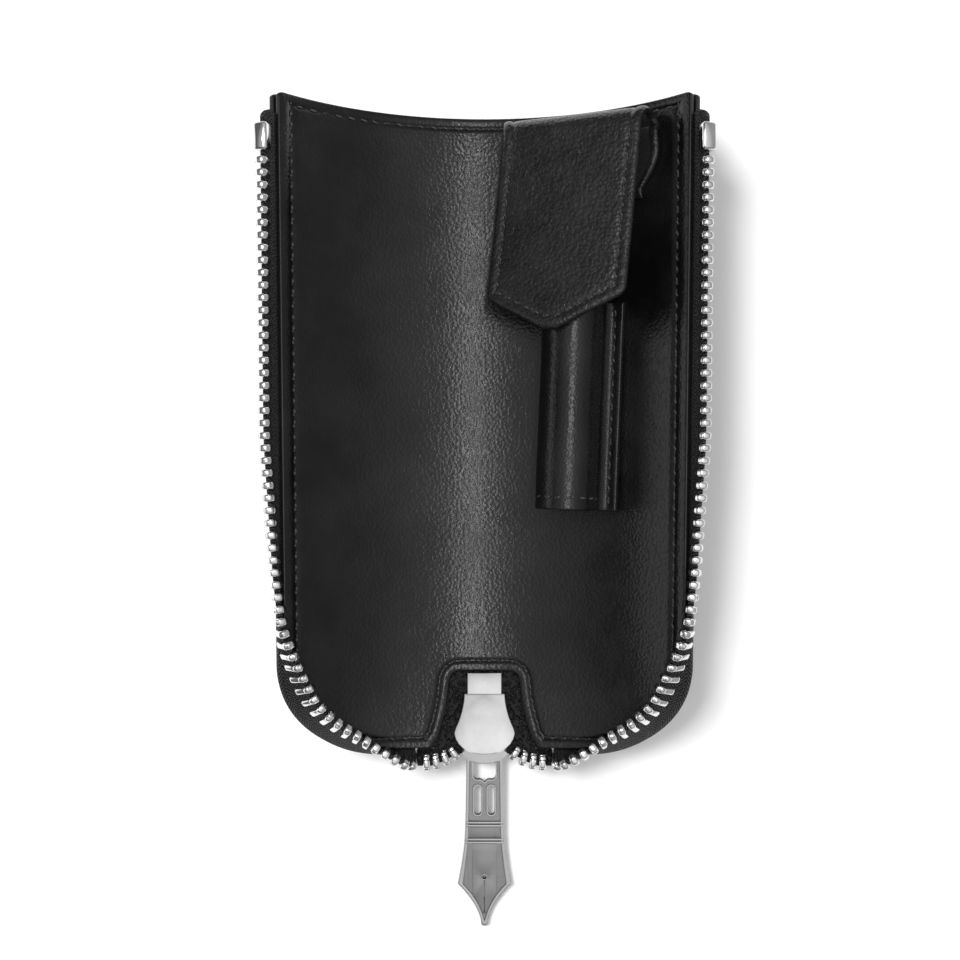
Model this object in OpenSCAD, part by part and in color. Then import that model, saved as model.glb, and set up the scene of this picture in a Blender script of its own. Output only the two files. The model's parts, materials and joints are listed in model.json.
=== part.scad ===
// Zip-around pen case, lying open like a book on its spine.
// X runs across the case, Y along its spine, Z up from the surface it lies on.

/* [Case] */
// Length of the leather covers along the spine
case_length = 154.4; // [140:0.2:170]
// Half the width across the open covers, at their top corners
half_width = 47.3; // [45:0.1:50]
// How much narrower each cover is where its bottom corner starts
side_taper = 1.3; // [0:0.1:2]
// Radius of the bottom corners
corner_r = 22; // [14:0.5:24]
// Radius of the trough that the open covers make
trough_r = 63; // [60:0.5:80]
// Lift of the bottom end at the middle, which makes room for the slider
end_lift = 5.2; // [5:0.1:6]
// Length of the bottom end that lifts
lift_length = 34.2; // [30:0.2:40]
// Half the width that lifts
lift_half_width = 38; // [36:0.5:42]

/* [Layers] */
// Thickness of the outer leather
shell_t = 1.4; // [1.2:0.1:1.8]
// Space between the outer leather and the lining
core_t = 1.0; // [0.8:0.05:1.2]
// Thickness of the lining leather
lining_t = 1.2; // [0.8:0.1:1.4]
// Air between two glued layers
layer_gap = 0.1; // [0.08:0.01:0.12]
// How far the stiffening board stays inside the edge
board_inset = 7.5; // [7:0.1:12]

/* [Spine] */
// Half the distance between the two fold lines
fold_half = 6; // [5.5:0.1:6.5]
// Gap between the spine and each cover
fold_gap = 0.3; // [0.2:0.05:0.4]
// Height of the fold axes above the lining at the spine
fold_axis_up = 1.4; // [1.3:0.1:1.8]
// Angle through which each cover closes
close_angle = 66.5; // [65:0.5:68]
// Half the space kept between the two tape edges when closed
closed_half = 2; // [1.9:0.1:2.5]

/* [Notch] */
// Depth of the notch for the slider
notch_depth = 18; // [17.8:0.1:19]
// Half width of the notch at its closed end
notch_half = 8.5; // [8.2:0.1:9]
// How far each side of the notch flares
notch_flare = 3.7; // [3:0.1:4]
// Run of the notch's two rounded corners
notch_corner = 1; // [0.6:0.1:1.5]

/* [Zip] */
// Thickness of the zip tape
tape_t = 0.6; // [0.5:0.05:0.7]
// Width of tape sewn between the two leathers
tape_seam = 6; // [5:0.1:6.5]
// Distance between two teeth
pitch = 2.83; // [2.6:0.01:3.2]
// Width of a tooth along the tape
tooth_w = 1.4; // [1.2:0.05:1.6]
// Thickness of a tooth across the tape
tooth_t = 2.4; // [2:0.05:2.5]
// Length of the head beyond the tape's edge
tooth_head = 1.3; // [1:0.05:1.4]
// Length of the legs on the tape
tooth_legs = 1.9; // [1.5:0.05:2.2]
// Distance from the top of the case to the end of the tape
tape_end_down = 4.9; // [4:0.1:8]
// Distance from the end of the tape to the middle of the top stop
stop_down = 6.8; // [5:0.1:7.5]
// Length of the top stop
stop_length = 5.6; // [4:0.1:6]
// Distance from the end of the tape to the first tooth
first_tooth_down = 12.2; // [11.8:0.1:16]
// Clearance of a leg on the tape
tooth_clear = 0.08; // [0.05:0.01:0.12]

/* [Slider] */
// Length of the inner plate, seen from above
slider_run = 19; // [18.4:0.1:19.2]
// How far the inner plate reaches past the covers' bottom edge
slider_past_edge = 1.9; // [1.5:0.1:2.4]
// Distance from the slider's middle to the puller's pivot
pivot_along = 6.7; // [6:0.1:7]
// Half width of the neck
neck_half = 4.15; // [4.1:0.05:4.4]
// Length of the neck
neck_length = 4.3; // [3.5:0.1:5]
// Half width of the body at its widest
bell_half = 7.4; // [7.2:0.05:7.5]
// Thickness of each plate
plate_t = 1.1; // [0.9:0.05:1.2]
// Clearance between the teeth and a plate
channel_clear = 0.15; // [0.1:0.01:0.2]
// Width of the side rails
rail_w = 0.7; // [0.5:0.05:0.8]
// Height of the slot in which the tape runs
tape_slot = 1.4; // [1.3:0.05:1.6]
// How far the outer plate reaches past the inner one
outer_lip = 2.2; // [0.5:0.1:2.6]
// Width of the bridge that holds the puller
bridge_w = 2.6; // [2:0.1:3]
// Metal around the bridge's eye
bridge_wall = 0.9; // [0.8:0.05:1]
// How far the slider runs along the straight start of the zip
slider_travel = 10; // [4:0.5:11]

/* [Puller] */
// Length from the pivot to the tip of the nib
puller_length = 46.2; // [40:0.2:50]
// Thickness of the puller
puller_t = 1.7; // [1.4:0.05:1.8]
// Half width of the shank
shank_half = 4.75; // [4.6:0.05:5]
// Half width of the nib at its shoulders
nib_half = 6.6; // [6:0.1:7]
// Radius of the bar that turns in the bridge
bar_r = 0.8; // [0.7:0.02:0.85]
// Radial clearance of the bar in the bridge's eye
bar_clear = 0.07; // [0.05:0.01:0.1]
// Length of the window behind the bar
window_length = 8.6; // [7:0.1:9]
// Radius of the round hole in the nib
breather_r = 0.7; // [0.5:0.05:1.2]

/* [Sleeve] */
// Radius of the pen that the sleeve is made for
pen_r = 6.3; // [6:0.05:6.6]
// Radial clearance of the pen in the sleeve
pen_clear = 0.1; // [0.06:0.01:0.2]
// Thickness of the sleeve's leather
sleeve_t = 0.9; // [0.8:0.05:1.1]
// Length of the sleeve
sleeve_length = 50; // [40:0.5:54]
// Distance from the top of the case to the sleeve
sleeve_down = 46.6; // [46:0.1:50]
// Angle of the sleeve and the flap round the trough
sleeve_phi = 21.5; // [21:0.1:22.5]
// Turn of the sleeve out of line with the spine
sleeve_skew = 2; // [0:0.1:2.5]
// Angle by which the sleeve's bottom end stands off the lining
sleeve_pitch = 1; // [0:0.1:1.5]
// Distance from the sleeve's middle to the edge of its sewn flange
flange_reach = 11; // [10:0.1:12]
// Space between the sleeve and the lining
sleeve_lift = 0.2; // [0.15:0.01:0.3]

/* [Flap] */
// Width of the flap at its fold
flap_w = 33.8; // [32:0.1:34.4]
// Length from the fold to the point
flap_length = 47.6; // [44:0.1:52]
// Shift of the flap toward the spine
flap_shift = 0.4; // [0:0.1:0.5]
// Length of the point
flap_point = 8; // [5:0.1:10]
// Thickness of the flap's outer leather
flap_t = 1.1; // [0.9:0.05:1.3]
// Thickness of the suede inside the flap
suede_t = 0.6; // [0.4:0.05:0.8]
// Radius of the loop at the fold, outside
loop_r = 4.7; // [4.2:0.1:5]
// Distance from the top of the case to the middle of the loop
loop_down = 7.2; // [6:0.1:9]
// Space between the flap and the sleeve that it climbs over
flap_clear = 0.4; // [0.3:0.05:0.6]
// Length of the flap's back that is sewn down
back_length = 10.6; // [8:0.1:20]
// Gap at the flap's fold line
flap_gap = 0.15; // [0.1:0.01:0.25]
// Radius of the flap's two rounded corners
flap_corner_r = 3; // [1:0.1:4]

/* [Stitching] */
// Distance between two stitches
stitch_pitch = 2.75; // [2.4:0.05:3.2]
// Length of a stitch
stitch_length = 2.0; // [1.6:0.05:2.2]
// Thickness of the thread
thread_t = 0.5; // [0.4:0.05:0.7]
// Distance of the stitch line from the edge
stitch_inset = 2.5; // [2:0.1:3.5]

/* [Hidden] */

eps = 0.01;
round_fn = 96;
right = 1;
left = -1;

// Heights of the layers at the spine
stack_t = shell_t + core_t + lining_t;
core_mid = lining_t + core_t / 2;
fold_z = stack_t + fold_axis_up;

// The slider's own frame, and where the puller turns in it
channel_half = tooth_t / 2 + channel_clear;
plate_top = channel_half + plate_t;
bar_eye_r = bar_r + bar_clear;
puller_gap = 0.6;
pivot_down = plate_top + puller_t / 2 + puller_gap;
neck_up = slider_run - slider_past_edge;
slider_tilt = atan((end_rise(-slider_past_edge) - end_rise(neck_up)) / slider_run);
slider_length = slider_run / cos(slider_tilt);
slider_up = slider_run / 2 - slider_past_edge;
tape_sag = 0.25;
slider_z = stack_t - core_mid + tape_sag
           + (end_rise(-slider_past_edge) + end_rise(neck_up)) / 2;

// The middle of the whole length is at y = 0
pivot_up = slider_up - pivot_along * cos(slider_tilt) - pivot_down * sin(slider_tilt);
pivot_z = slider_z + pivot_along * sin(slider_tilt) - pivot_down * cos(slider_tilt);
table_clear = 0.1;
puller_droop = asin((pivot_z - puller_t / 2 - table_clear) / puller_length);
bottom_y = (puller_length * cos(puller_droop) - pivot_up - case_length) / 2;
top_y = bottom_y + case_length;
slider_y = bottom_y + slider_up;
pivot_y = bottom_y + pivot_up;
corner_x = half_width - side_taper - corner_r;
corner_y = bottom_y + corner_r;
notch_y = bottom_y + notch_depth;

// ---- The surface of the open covers ----

// How much the middle of the bottom end lifts, at a height above the bottom edge
function end_rise(up) = end_lift * pow(max(0, (lift_length - up) / lift_length), 2);

function lift(x, y) = end_rise(y - bottom_y) * max(0, 1 - pow(x / lift_half_width, 2));

// A point at a depth below the lining's face
function surf(x, y, depth = 0) =
    [x + depth * x / trough_r, y,
     stack_t + trough_r - (trough_r + depth) * sqrt(1 - pow(x / trough_r, 2)) + lift(x, y)];

function unit(v) = v / norm(v);

// Outline of a cover: side, bottom corner, notch and fold line
function side_x(y) = half_width - side_taper * (top_y - y) / (top_y - corner_y);
function outer_x(y, inset) = y >= corner_y ? side_x(y) - inset
    : corner_x + sqrt(max(0, pow(corner_r - inset, 2) - pow(corner_y - y, 2)));
function notch_x(y) = notch_half + notch_flare * pow(max(0, notch_y - y) / notch_depth, 2);
function inner_x(y, inset) = y > notch_y + inset - eps ? fold_half + fold_gap / 2
    : notch_x(y) + inset;

// Rows of a cover, from the top edge to the bottom edge
side_rows = 12;
notch_rows = 3;
corner_rows = 9;
corner_step = 0.2;
function cover_rows(inset) = concat(
    [for (i = [0 : side_rows]) top_y - inset
        + (notch_y + inset + eps - top_y + inset) * i / side_rows],
    [for (i = [0 : notch_rows])
        let (a = notch_y + inset - notch_corner, b = corner_y - corner_step)
        if (a > b) a + (b - a) * i / notch_rows],
    [for (i = [1 : corner_rows])
        let (y = corner_y - (corner_r - inset) * sin(90 * i / corner_rows))
        if (y < notch_y + inset - notch_corner) y]);

// A layer of a right-hand cover between two depths
cover_cols = 12;
function layer_grid(inset, depth) = [for (y = cover_rows(inset))
    let (a = inner_x(y, inset), b = outer_x(y, inset))
    [for (i = [0 : cover_cols]) surf(a + (b - a) * i / cover_cols, y, depth)]];

// A solid between two grids of points, rows running down and columns to the right
module solid_between(top, bottom) {
    m = len(top);
    n = len(top[0]);
    off = m * n;
    rim = concat([for (i = [0 : n - 1]) i],
                 [for (j = [1 : m - 1]) j * n + n - 1],
                 [for (i = [n - 2 : -1 : 0]) (m - 1) * n + i],
                 [for (j = [m - 2 : -1 : 1]) j * n]);
    polyhedron(
        points = [for (g = [top, bottom]) for (row = g) for (p = row) p],
        faces = concat(
            [for (j = [0 : m - 2]) for (i = [0 : n - 2]) for (f = [
                [0, 1, n + 1], [0, n + 1, n]]) [for (k = f) j * n + i + k]],
            [for (j = [0 : m - 2]) for (i = [0 : n - 2]) for (f = [
                [n + 1, 1, 0], [n, n + 1, 0]]) [for (k = f) off + j * n + i + k]],
            [for (k = [0 : len(rim) - 1]) let (p = rim[k], q = rim[(k + 1) % len(rim)])
                for (f = [[q, p, p + off], [q, p + off, q + off]]) f]),
        convexity = 6);
}

module on_side(side) {
    mirror([side == left ? 1 : 0, 0, 0]) children();
}

module cover_layer(side, inset, top_depth, bottom_depth)
    on_side(side)
        solid_between(layer_grid(inset, top_depth), layer_grid(inset, bottom_depth));

// A layer of the spine; the lowest layer is flat underneath
spine_cols = 4;
spine_rows = 24;
module spine_layer(inset, top_depth, bottom_depth, flat_below = false) {
    half = fold_half - fold_gap / 2 - inset;
    rows = [for (j = [0 : spine_rows]) top_y - inset
            + (notch_y + 2 * inset - top_y) * j / spine_rows];
    function grid(depth, flat) = [for (y = rows) [for (i = [0 : spine_cols])
        let (x = half * (2 * i / spine_cols - 1))
        flat ? [x, y, lift(x, y)] : surf(x, y, depth)]];
    solid_between(grid(top_depth, false), grid(bottom_depth, flat_below));
}

// ---- The zip's edge ----

// The path along a cover's edge, as [x, y, outward x, outward y], q from the tape's top end
tape_top_y = top_y - tape_end_down;
q_side = tape_top_y - corner_y;
q_corner = q_side + corner_r * PI / 2;
lead_x = 16.5;
q_end = q_corner + corner_x - lead_x;
function edge(q) = q < q_side ? [side_x(tape_top_y - q), tape_top_y - q, 1, 0]
    : q < q_corner ? let (a = (q - q_side) / corner_r * 180 / PI)
        [corner_x + corner_r * cos(a), corner_y - corner_r * sin(a), cos(a), -sin(a)]
    : [corner_x - (q - q_corner), bottom_y, 0, -1];

// A smooth step through [place, value] keys
function eased(q, keys) = q <= keys[0][0] ? keys[0][1]
    : q >= keys[len(keys) - 1][0] ? keys[len(keys) - 1][1]
    : let (i = [for (k = [0 : len(keys) - 2]) if (q >= keys[k][0] && q < keys[k + 1][0]) k][0],
           t = (q - keys[i][0]) / (keys[i + 1][0] - keys[i][0]))
        keys[i][1] + (keys[i + 1][1] - keys[i][1]) * (1 - cos(180 * t)) / 2;

// How far the tape leans outward: it follows the sides and turns in round the corners
lead_reach = 2.7;
side_lean = 2.9;
corner_lean = -4.8;
corner_mid = (q_side + q_corner) / 2;
lean_keys = [[q_side - 52, side_lean], [q_side - 20, side_lean - 1.9], [q_side - 8, side_lean - 3.3],
             [q_side + 3, corner_lean + 0.8], [corner_mid, corner_lean],
             [q_corner - 6, corner_lean + 0.9], [q_corner, corner_lean + 3.5],
             [q_corner + 4, corner_lean + 5.4], [q_end, lead_reach]];

// The lean at a place is the mean of the keys around it
lean_spread = 4;
function lean(q) = [for (k = [-lean_spread : lean_spread]) lookup(q + k, lean_keys)]
    * [for (k = [-lean_spread : lean_spread]) 1] / (2 * lean_spread + 1);

// When the covers close, the tape's edge comes to the middle plane
function closing_z(x) = fold_z + ((x - fold_half) * cos(close_angle) + fold_half - closed_half)
                        / sin(close_angle);

// The tape's edge, where its teeth are
tape_end_rise = 0.2;
function rise_share(q) = eased(q, [[q_corner + 4, 1], [q_end + 2, 0]]);
function tape_edge(q) = let (e = edge(q), d = lean(q),
                             x = e[0] + d * e[2], y = e[1] + d * e[3])
    [x, y, closing_z(x) * rise_share(q)
           + (surf(e[0], e[1])[2] + tape_end_rise) * (1 - rise_share(q))];
function tape_line(q, inset, depth = core_mid) = let (e = edge(q))
    surf(e[0] - inset * e[2], e[1] - inset * e[3], depth);

// The tape comes out past the leather and turns up before it leans
turn_out = tape_t / 2 + 0.4;
turn_up = 0.5;
turn_start = core_mid - 0.4;
function tape_turn(q) = tape_line(q, -turn_out, -turn_up * rise_share(q));

// Frame at the tape's edge: [along the strip outward, along the path, across, origin]
function tape_frame(q) =
    let (p = tape_edge(q), out = unit(p - tape_turn(q)),
         path = unit(tape_edge(q - 0.5) - tape_edge(q + 0.5)),
         across = unit(cross(out, path)))
    [out, unit(cross(across, out)), across, p];

module in_frame(f)
    multmatrix([[f[0][0], f[1][0], f[2][0], f[3][0]],
                [f[0][1], f[1][1], f[2][1], f[3][1]],
                [f[0][2], f[1][2], f[2][2], f[3][2]],
                [0, 0, 0, 1]]) children();

// The length of the tape's edge up to each place, for even spacing
q_step = 1;
q_list = [for (q = [0 : q_step : q_end]) q];
edge_points = [for (q = q_list) tape_edge(q)];
function run_to(i) = i == 0 ? 0 : run_to(i - 1) + norm(edge_points[i] - edge_points[i - 1]);
run_table = [for (i = [0 : len(q_list) - 1]) [run_to(i), q_list[i]]];
full_run = run_table[len(run_table) - 1][0];
function q_at(run) = lookup(run, run_table);

// A tooth: a head beyond the tape's edge and two legs that grip the tape
module tooth(width = tooth_w) {
    difference() {
        translate([-tooth_legs, -width / 2, -tooth_t / 2])
            cube([tooth_legs + tooth_head, width, tooth_t]);
        translate([-tooth_legs - 1, -width / 2 - 1, -tape_t / 2 - tooth_clear])
            cube([tooth_legs + 1 + tooth_clear, width + 2, tape_t + 2 * tooth_clear]);
    }
}

// ---- Leather, boards and lining ----

module outer_leather_spine() color("#1c1b1c")
    spine_layer(0, stack_t - shell_t, stack_t, true);

module outer_leather(side) color("#1c1b1c")
    cover_layer(side, 0, stack_t - shell_t + layer_gap, stack_t);

spine_board_inset = 0.8;
module spine_board() color("#6d6a66")
    spine_layer(spine_board_inset, lining_t + layer_gap, stack_t - shell_t - layer_gap);

module cover_board(side) color("#6d6a66")
    cover_layer(side, board_inset, lining_t + layer_gap, stack_t - shell_t - layer_gap);

module lining_spine() color("#2b2a2b")
    spine_layer(0, 0, lining_t);

module lining(side) color("#2b2a2b")
    cover_layer(side, 0, 0, lining_t);

// ---- Zip ----

// A strip of tape through rows of points, thickened across its own face
module strip(rows) {
    m = len(rows);
    n = len(rows[0]);
    function row_dir(j, i) = rows[min(j + 1, m - 1)][i] - rows[max(j - 1, 0)][i];
    function col_dir(j, i) = rows[j][min(i + 1, n - 1)] - rows[j][max(i - 1, 0)];
    function face(j, i) = unit(cross(col_dir(j, i), -row_dir(j, i)));
    solid_between([for (j = [0 : m - 1]) [for (i = [0 : n - 1])
                      rows[j][i] + face(j, i) * tape_t / 2]],
                  [for (j = [0 : m - 1]) [for (i = [0 : n - 1])
                      rows[j][i] - face(j, i) * tape_t / 2]]);
}

tape_steps = 62;
module zip_tape(side) color("#141414") on_side(side)
    strip([for (k = [0 : tape_steps]) let (q = q_end * k / tape_steps)
        [tape_line(q, tape_seam), tape_line(q, tape_seam / 2), tape_line(q, 0),
         tape_line(q, -turn_out, turn_start), tape_turn(q), tape_edge(q)]]);

tooth_count = floor((full_run - first_tooth_down) / pitch);
module zip_teeth(side) color("#cfd0d2") on_side(side)
    for (k = [0 : tooth_count]) in_frame(tape_frame(q_at(first_tooth_down + k * pitch))) tooth();

module top_stop(side) color("#d6d7d9") on_side(side)
    in_frame(tape_frame(stop_down)) tooth(stop_length);

module in_slider_frame()
    translate([0, slider_y, slider_z]) rotate([-slider_tilt, 0, 0]) children();
function from_slider(p) = [p[0], slider_y + p[1] * cos(slider_tilt) + p[2] * sin(slider_tilt),
                           slider_z - p[1] * sin(slider_tilt) + p[2] * cos(slider_tilt)];

// The wedge in the slider's mouth, and how far it parts the rows
wedge_half = 1.5;
wedge_length = 6;
wedge_low = -slider_length / 2 + 0.6;
wedge_shoulder = 0.4;
part_gain = 1.1;
function wedge_x(y) = wedge_half * min(1, max(0, (wedge_low + wedge_length - y)
                                                 / (wedge_length * (1 - wedge_shoulder))));
function part_x(y) = max(wedge_x(y - tooth_w), wedge_x(y)) * part_gain;

// The tape in the notch, from the chain out to its seam, and on to the cover's own tape
chain_half = 3.5;
chain_parted = 1.9;
slot_edge = bell_half + 0.4;
notch_seam = 2.5;
notch_end_gap = 0.4;
function notch_row(y) = let (up = (y - slider_y) / cos(slider_tilt))
    [from_slider([chain_half + part_x(up), up, 0]), from_slider([slot_edge, up, 0]),
     surf(notch_x(y), y, core_mid), surf(notch_x(y) + notch_seam, y, core_mid)];
notch_steps = 6;
turn_y = bottom_y - 0.7;
lead_end = tape_edge(q_end);
function turn_row() = let (up = (turn_y - slider_y) / cos(slider_tilt))
    [from_slider([chain_half + chain_parted, up, 0]), from_slider([slot_edge, up, 0]),
     surf(notch_half + notch_flare, turn_y, core_mid),
     surf(lead_x - notch_end_gap, turn_y, core_mid)];
function lead_row() = let (
        p = from_slider([chain_half + chain_parted, notch_end_gap - slider_length / 2, 0]),
        r = from_slider([slot_edge, -notch_end_gap - slider_length / 2, 0]))
    [p, r, [notch_half + notch_flare, bottom_y - lead_reach, (r[2] + lead_end[2]) / 2],
     lead_end - [notch_end_gap, 0, 0]];
module notch_tape(side) color("#141414") on_side(side)
    strip(concat([for (k = [0 : notch_steps])
               notch_row(notch_y - notch_end_gap
                         - (notch_depth - 2 * notch_end_gap) * k / notch_steps)],
                 [turn_row(), lead_row()]));

// The few teeth between the slider's mouth and the cover
lead_count = 3;
module lead_teeth(side) color("#cfd0d2") on_side(side) {
    row = lead_row();
    above = turn_row();
    for (k = [0 : lead_count - 1])
        let (t = (k + 0.5) / lead_count, p = row[1] + (row[3] - row[1]) * t,
             from = above[1] + (above[3] - above[1]) * t, out = unit(p - from),
             path = unit(row[1] - row[3]), across = unit(cross(out, path)))
            in_frame([out, cross(across, out), across, p]) tooth();
}

// Teeth of both rows side by side, in the slider's frame
stub_count = 2;
stub_low = 2.6;
meshing_gap = 0.12;
meshed_w = tooth_w - 0.1;
module tooth_row(places)
    for (side = [left, right]) for (p = places)
        translate([side * (p[0] + tooth_head + meshing_gap),
                   p[1] + (side == left ? 0 : pitch / 2), 0])
            rotate([0, 0, side == right ? 180 : 0]) tooth(meshed_w);

module closed_teeth() color("#cfd0d2") in_slider_frame()
    tooth_row([for (k = [0 : stub_count - 1]) [0, stub_low + k * pitch]]);

stop_bar = 1.2;
stop_bar_half = 2.9;
stop_bar_down = 0.3;
module bottom_stop() color("#d6d7d9") in_slider_frame()
    translate([-stop_bar_half, slider_length / 2 - stop_bar - stop_bar_down, -tooth_t / 2])
        cube([2 * stop_bar_half, stop_bar, tooth_t]);

// The rows part round the wedge
channel_count = 3;
channel_gap = 0.2;
module teeth_in_slider() color("#cfd0d2") in_slider_frame()
    tooth_row([for (k = [1 : channel_count])
        let (y = stub_low - k * pitch - channel_gap) [part_x(y), y]]);

// ---- Slider ----

// Half outline of a slider plate, shrunk by an inset: neck, widening flank, round nose
neck_step = [0.8, 0.5];
nose_rx = 6.1;
nose_ry = 4.2;
nose_flat = 1.2;
flank_steps = 4;
nose_steps = 6;
function plate_half(inset, lip) = let (
        top = slider_length / 2 - inset, neck = neck_half - inset, bell = bell_half - inset,
        step = [neck, top - neck_length] + [neck_step[0], -neck_step[1]],
        nose = -slider_length / 2 - lip + inset, flank_y = nose + nose_flat + nose_ry)
    concat([[neck, top], [neck, top - neck_length], step],
           [for (i = [1 : flank_steps]) let (t = i / flank_steps)
               [step[0] + (bell - step[0]) * sin(90 * t), step[1] + (flank_y - step[1]) * t]],
           [for (i = [1 : nose_steps]) let (a = 90 * i / nose_steps)
               [bell - nose_rx * (1 - cos(a)), flank_y - nose_ry * sin(a)]],
           [[0, nose]]);
module plate_outline(inset = 0, lip = 0) {
    half = plate_half(inset, lip);
    n = len(half);
    polygon(concat(half, [for (i = [n - 2 : -1 : 0]) [-half[i][0], half[i][1]]]));
}

// Rails along the plate's sides, which leave a slot for the tape
rail_low = -slider_length / 2 + 5;
module rails(lip = 0)
    linear_extrude(channel_half - tape_slot / 2) difference() {
        plate_outline(0, lip);
        plate_outline(rail_w, lip - 2 * rail_w);
        translate([-slider_length / 2, rail_low - slider_length]) square(slider_length);
        translate([-neck_half + rail_w, 0]) square([2 * (neck_half - rail_w), slider_length]);
    }

module slider_inner_plate() color("#dfe0e2") in_slider_frame() {
    translate([0, 0, channel_half]) linear_extrude(plate_t) plate_outline();
    translate([0, 0, tape_slot / 2]) rails();
}

module slider_outer_plate() color("#dfe0e2") in_slider_frame() {
    translate([0, 0, -plate_top]) linear_extrude(plate_t) plate_outline(0, outer_lip);
    translate([0, 0, -channel_half]) rails(outer_lip);
}

// The wedge joins the two plates and parts the two rows
module slider_wedge() color("#c4c5c8") in_slider_frame()
    translate([0, wedge_low, -channel_half]) linear_extrude(2 * channel_half)
        polygon([[-wedge_half, 0], [wedge_half, 0], [wedge_half, wedge_length * wedge_shoulder],
                 [0, wedge_length], [-wedge_half, wedge_length * wedge_shoulder]]);

// The bridge stands on the outer plate, and its eye holds the puller's bar
module slider_bridge() color("#d0d1d4") in_slider_frame()
    translate([-bridge_w / 2, -pivot_along, -pivot_down]) rotate([90, 0, 90])
        linear_extrude(bridge_w) difference() {
            union() {
                circle(r = bar_eye_r + bridge_wall, $fn = round_fn);
                translate([-bar_eye_r - bridge_wall, 0])
                    square([2 * (bar_eye_r + bridge_wall), pivot_down - plate_top]);
            }
            circle(r = bar_eye_r, $fn = round_fn);
            translate([-plate_top, pivot_down - plate_top]) square(2 * plate_top);
        }

// ---- Puller, shaped like a pen's nib ----

bar_wall = 0.8;
window_top = bar_r + bar_wall;
window_end = window_top + window_length;
slot_top = window_end + 0.9;
slot_length = 7.4;
band_top = slot_top + slot_length + 2;
bar_end = 0.85;
bar_chamfer = 0.5;
nib_length = 10.6;
shoulder = puller_length - nib_length;
tip_half = 0.8;
tip_round = 0.4;
widen_steps = 4;
nib_steps = 8;
nib_hollow = 1.75;
function nib_side(t) = [tip_half + (nib_half - tip_half) * pow(1 - t, nib_hollow),
                        shoulder + (nib_length - tip_round) * t];
module puller_outline() {
    half = concat([[shank_half - bar_chamfer, -bar_end], [shank_half, bar_chamfer - bar_end],
                   [shank_half, band_top]],
                  [for (i = [1 : widen_steps]) let (t = i / widen_steps)
                      [shank_half + (nib_half - shank_half) * pow(t, nib_hollow),
                       band_top + (shoulder - band_top) * t]],
                  [for (i = [1 : nib_steps]) nib_side(i / nib_steps)],
                  [[tip_half - tip_round, puller_length]]);
    n = len(half);
    polygon(concat(half, [for (i = [n - 1 : -1 : 0]) [-half[i][0], half[i][1]]]));
}

// The window, with a curved point at its far end
rim_w = 1.1;
window_point = 2.6;
point_steps = 5;
module puller_window() {
    half = shank_half - rim_w;
    low = window_end - window_point;
    polygon(concat([[-half, window_top], [half, window_top]],
                   [for (i = [0 : 2 * point_steps]) let (t = 1 - i / point_steps)
                       [half * t, low + window_point * pow(1 - abs(t), 2)]]));
}

slot_half = 1.35;
slot_x = 1.75;
slit_w = 0.35;
slit_to_tip = 1.5;
module puller_holes() {
    puller_window();
    for (side = [left, right]) translate([side * slot_x, slot_top + slot_half]) {
        circle(r = slot_half, $fn = round_fn);
        translate([-slot_half, 0]) square([2 * slot_half, slot_length - 2 * slot_half]);
        translate([0, slot_length - 2 * slot_half]) circle(r = slot_half, $fn = round_fn);
    }
    breather_at = shoulder - breather_r;
    translate([0, breather_at]) circle(r = breather_r, $fn = round_fn);
    translate([-slit_w / 2, breather_at])
        square([slit_w, puller_length - slit_to_tip - breather_at]);
}

module in_puller_frame()
    translate([0, pivot_y, pivot_z]) rotate([puller_droop, 0, 0]) mirror([0, 1, 0]) children();

// Two grooves across the shank, with a bare band between them
groove_sunk = 0.25;
groove_w = 1;
band_w = 4;
bridge_gap = 0.5;
module puller_grooves()
    for (y = [band_top, band_top + band_w])
        translate([-shank_half + rim_w, y, puller_t / 2 - groove_sunk])
            cube([2 * (shank_half - rim_w), groove_w, puller_t]);

module nib_puller() color("#b9babd") in_puller_frame() {
    difference() {
        translate([0, 0, -puller_t / 2]) linear_extrude(puller_t) difference() {
            puller_outline();
            puller_holes();
            translate([-bridge_w / 2 - bridge_gap, -shank_half])
                square([bridge_w + 2 * bridge_gap, shank_half + window_top + eps]);
        }
        puller_grooves();
    }
    translate([bar_chamfer - shank_half, 0, 0]) rotate([0, 90, 0])
        cylinder(r = bar_r, h = 2 * (shank_half - bar_chamfer), $fn = round_fn);
}

// ---- Sleeve and flap, in a frame that lies on the right-hand cover ----

module on_cover()
    translate([trough_r * sin(sleeve_phi), 0, stack_t + trough_r * (1 - cos(sleeve_phi))])
        rotate([0, -sleeve_phi, 0]) children();
// Height of the trough's surface above its tangent, at a distance across
function dish(x) = trough_r - sqrt(pow(trough_r, 2) - x * x);

sleeve_r = pen_r + pen_clear;
sleeve_outer_r = sleeve_r + sleeve_t;
sleeve_top_y = top_y - sleeve_down;
flange_steps = 8;
module sleeve_profile() difference() {
    union() {
        translate([0, sleeve_lift + sleeve_outer_r]) circle(r = sleeve_outer_r, $fn = round_fn);
        polygon(concat(
            [for (i = [0 : flange_steps]) let (x = flange_reach * i / flange_steps)
                [x, sleeve_lift + dish(x)]],
            [for (i = [flange_steps : -1 : 0]) let (x = flange_reach * i / flange_steps)
                [x, sleeve_t + sleeve_lift + dish(x)]]));
    }
    translate([0, sleeve_lift + sleeve_outer_r]) circle(r = sleeve_r, $fn = round_fn);
}

module in_sleeve_frame() on_cover()
    translate([0, sleeve_top_y - sleeve_length / 2, 0]) rotate([0, 0, -sleeve_skew])
        translate([0, sleeve_length / 2, 0]) rotate([-sleeve_pitch, 0, 0])
            translate([0, -sleeve_length / 2, 0]) children();
module pen_sleeve() color("#242324") in_sleeve_frame()
    translate([0, sleeve_length / 2, 0]) rotate([90, 0, 0])
        linear_extrude(sleeve_length) sleeve_profile();

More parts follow.
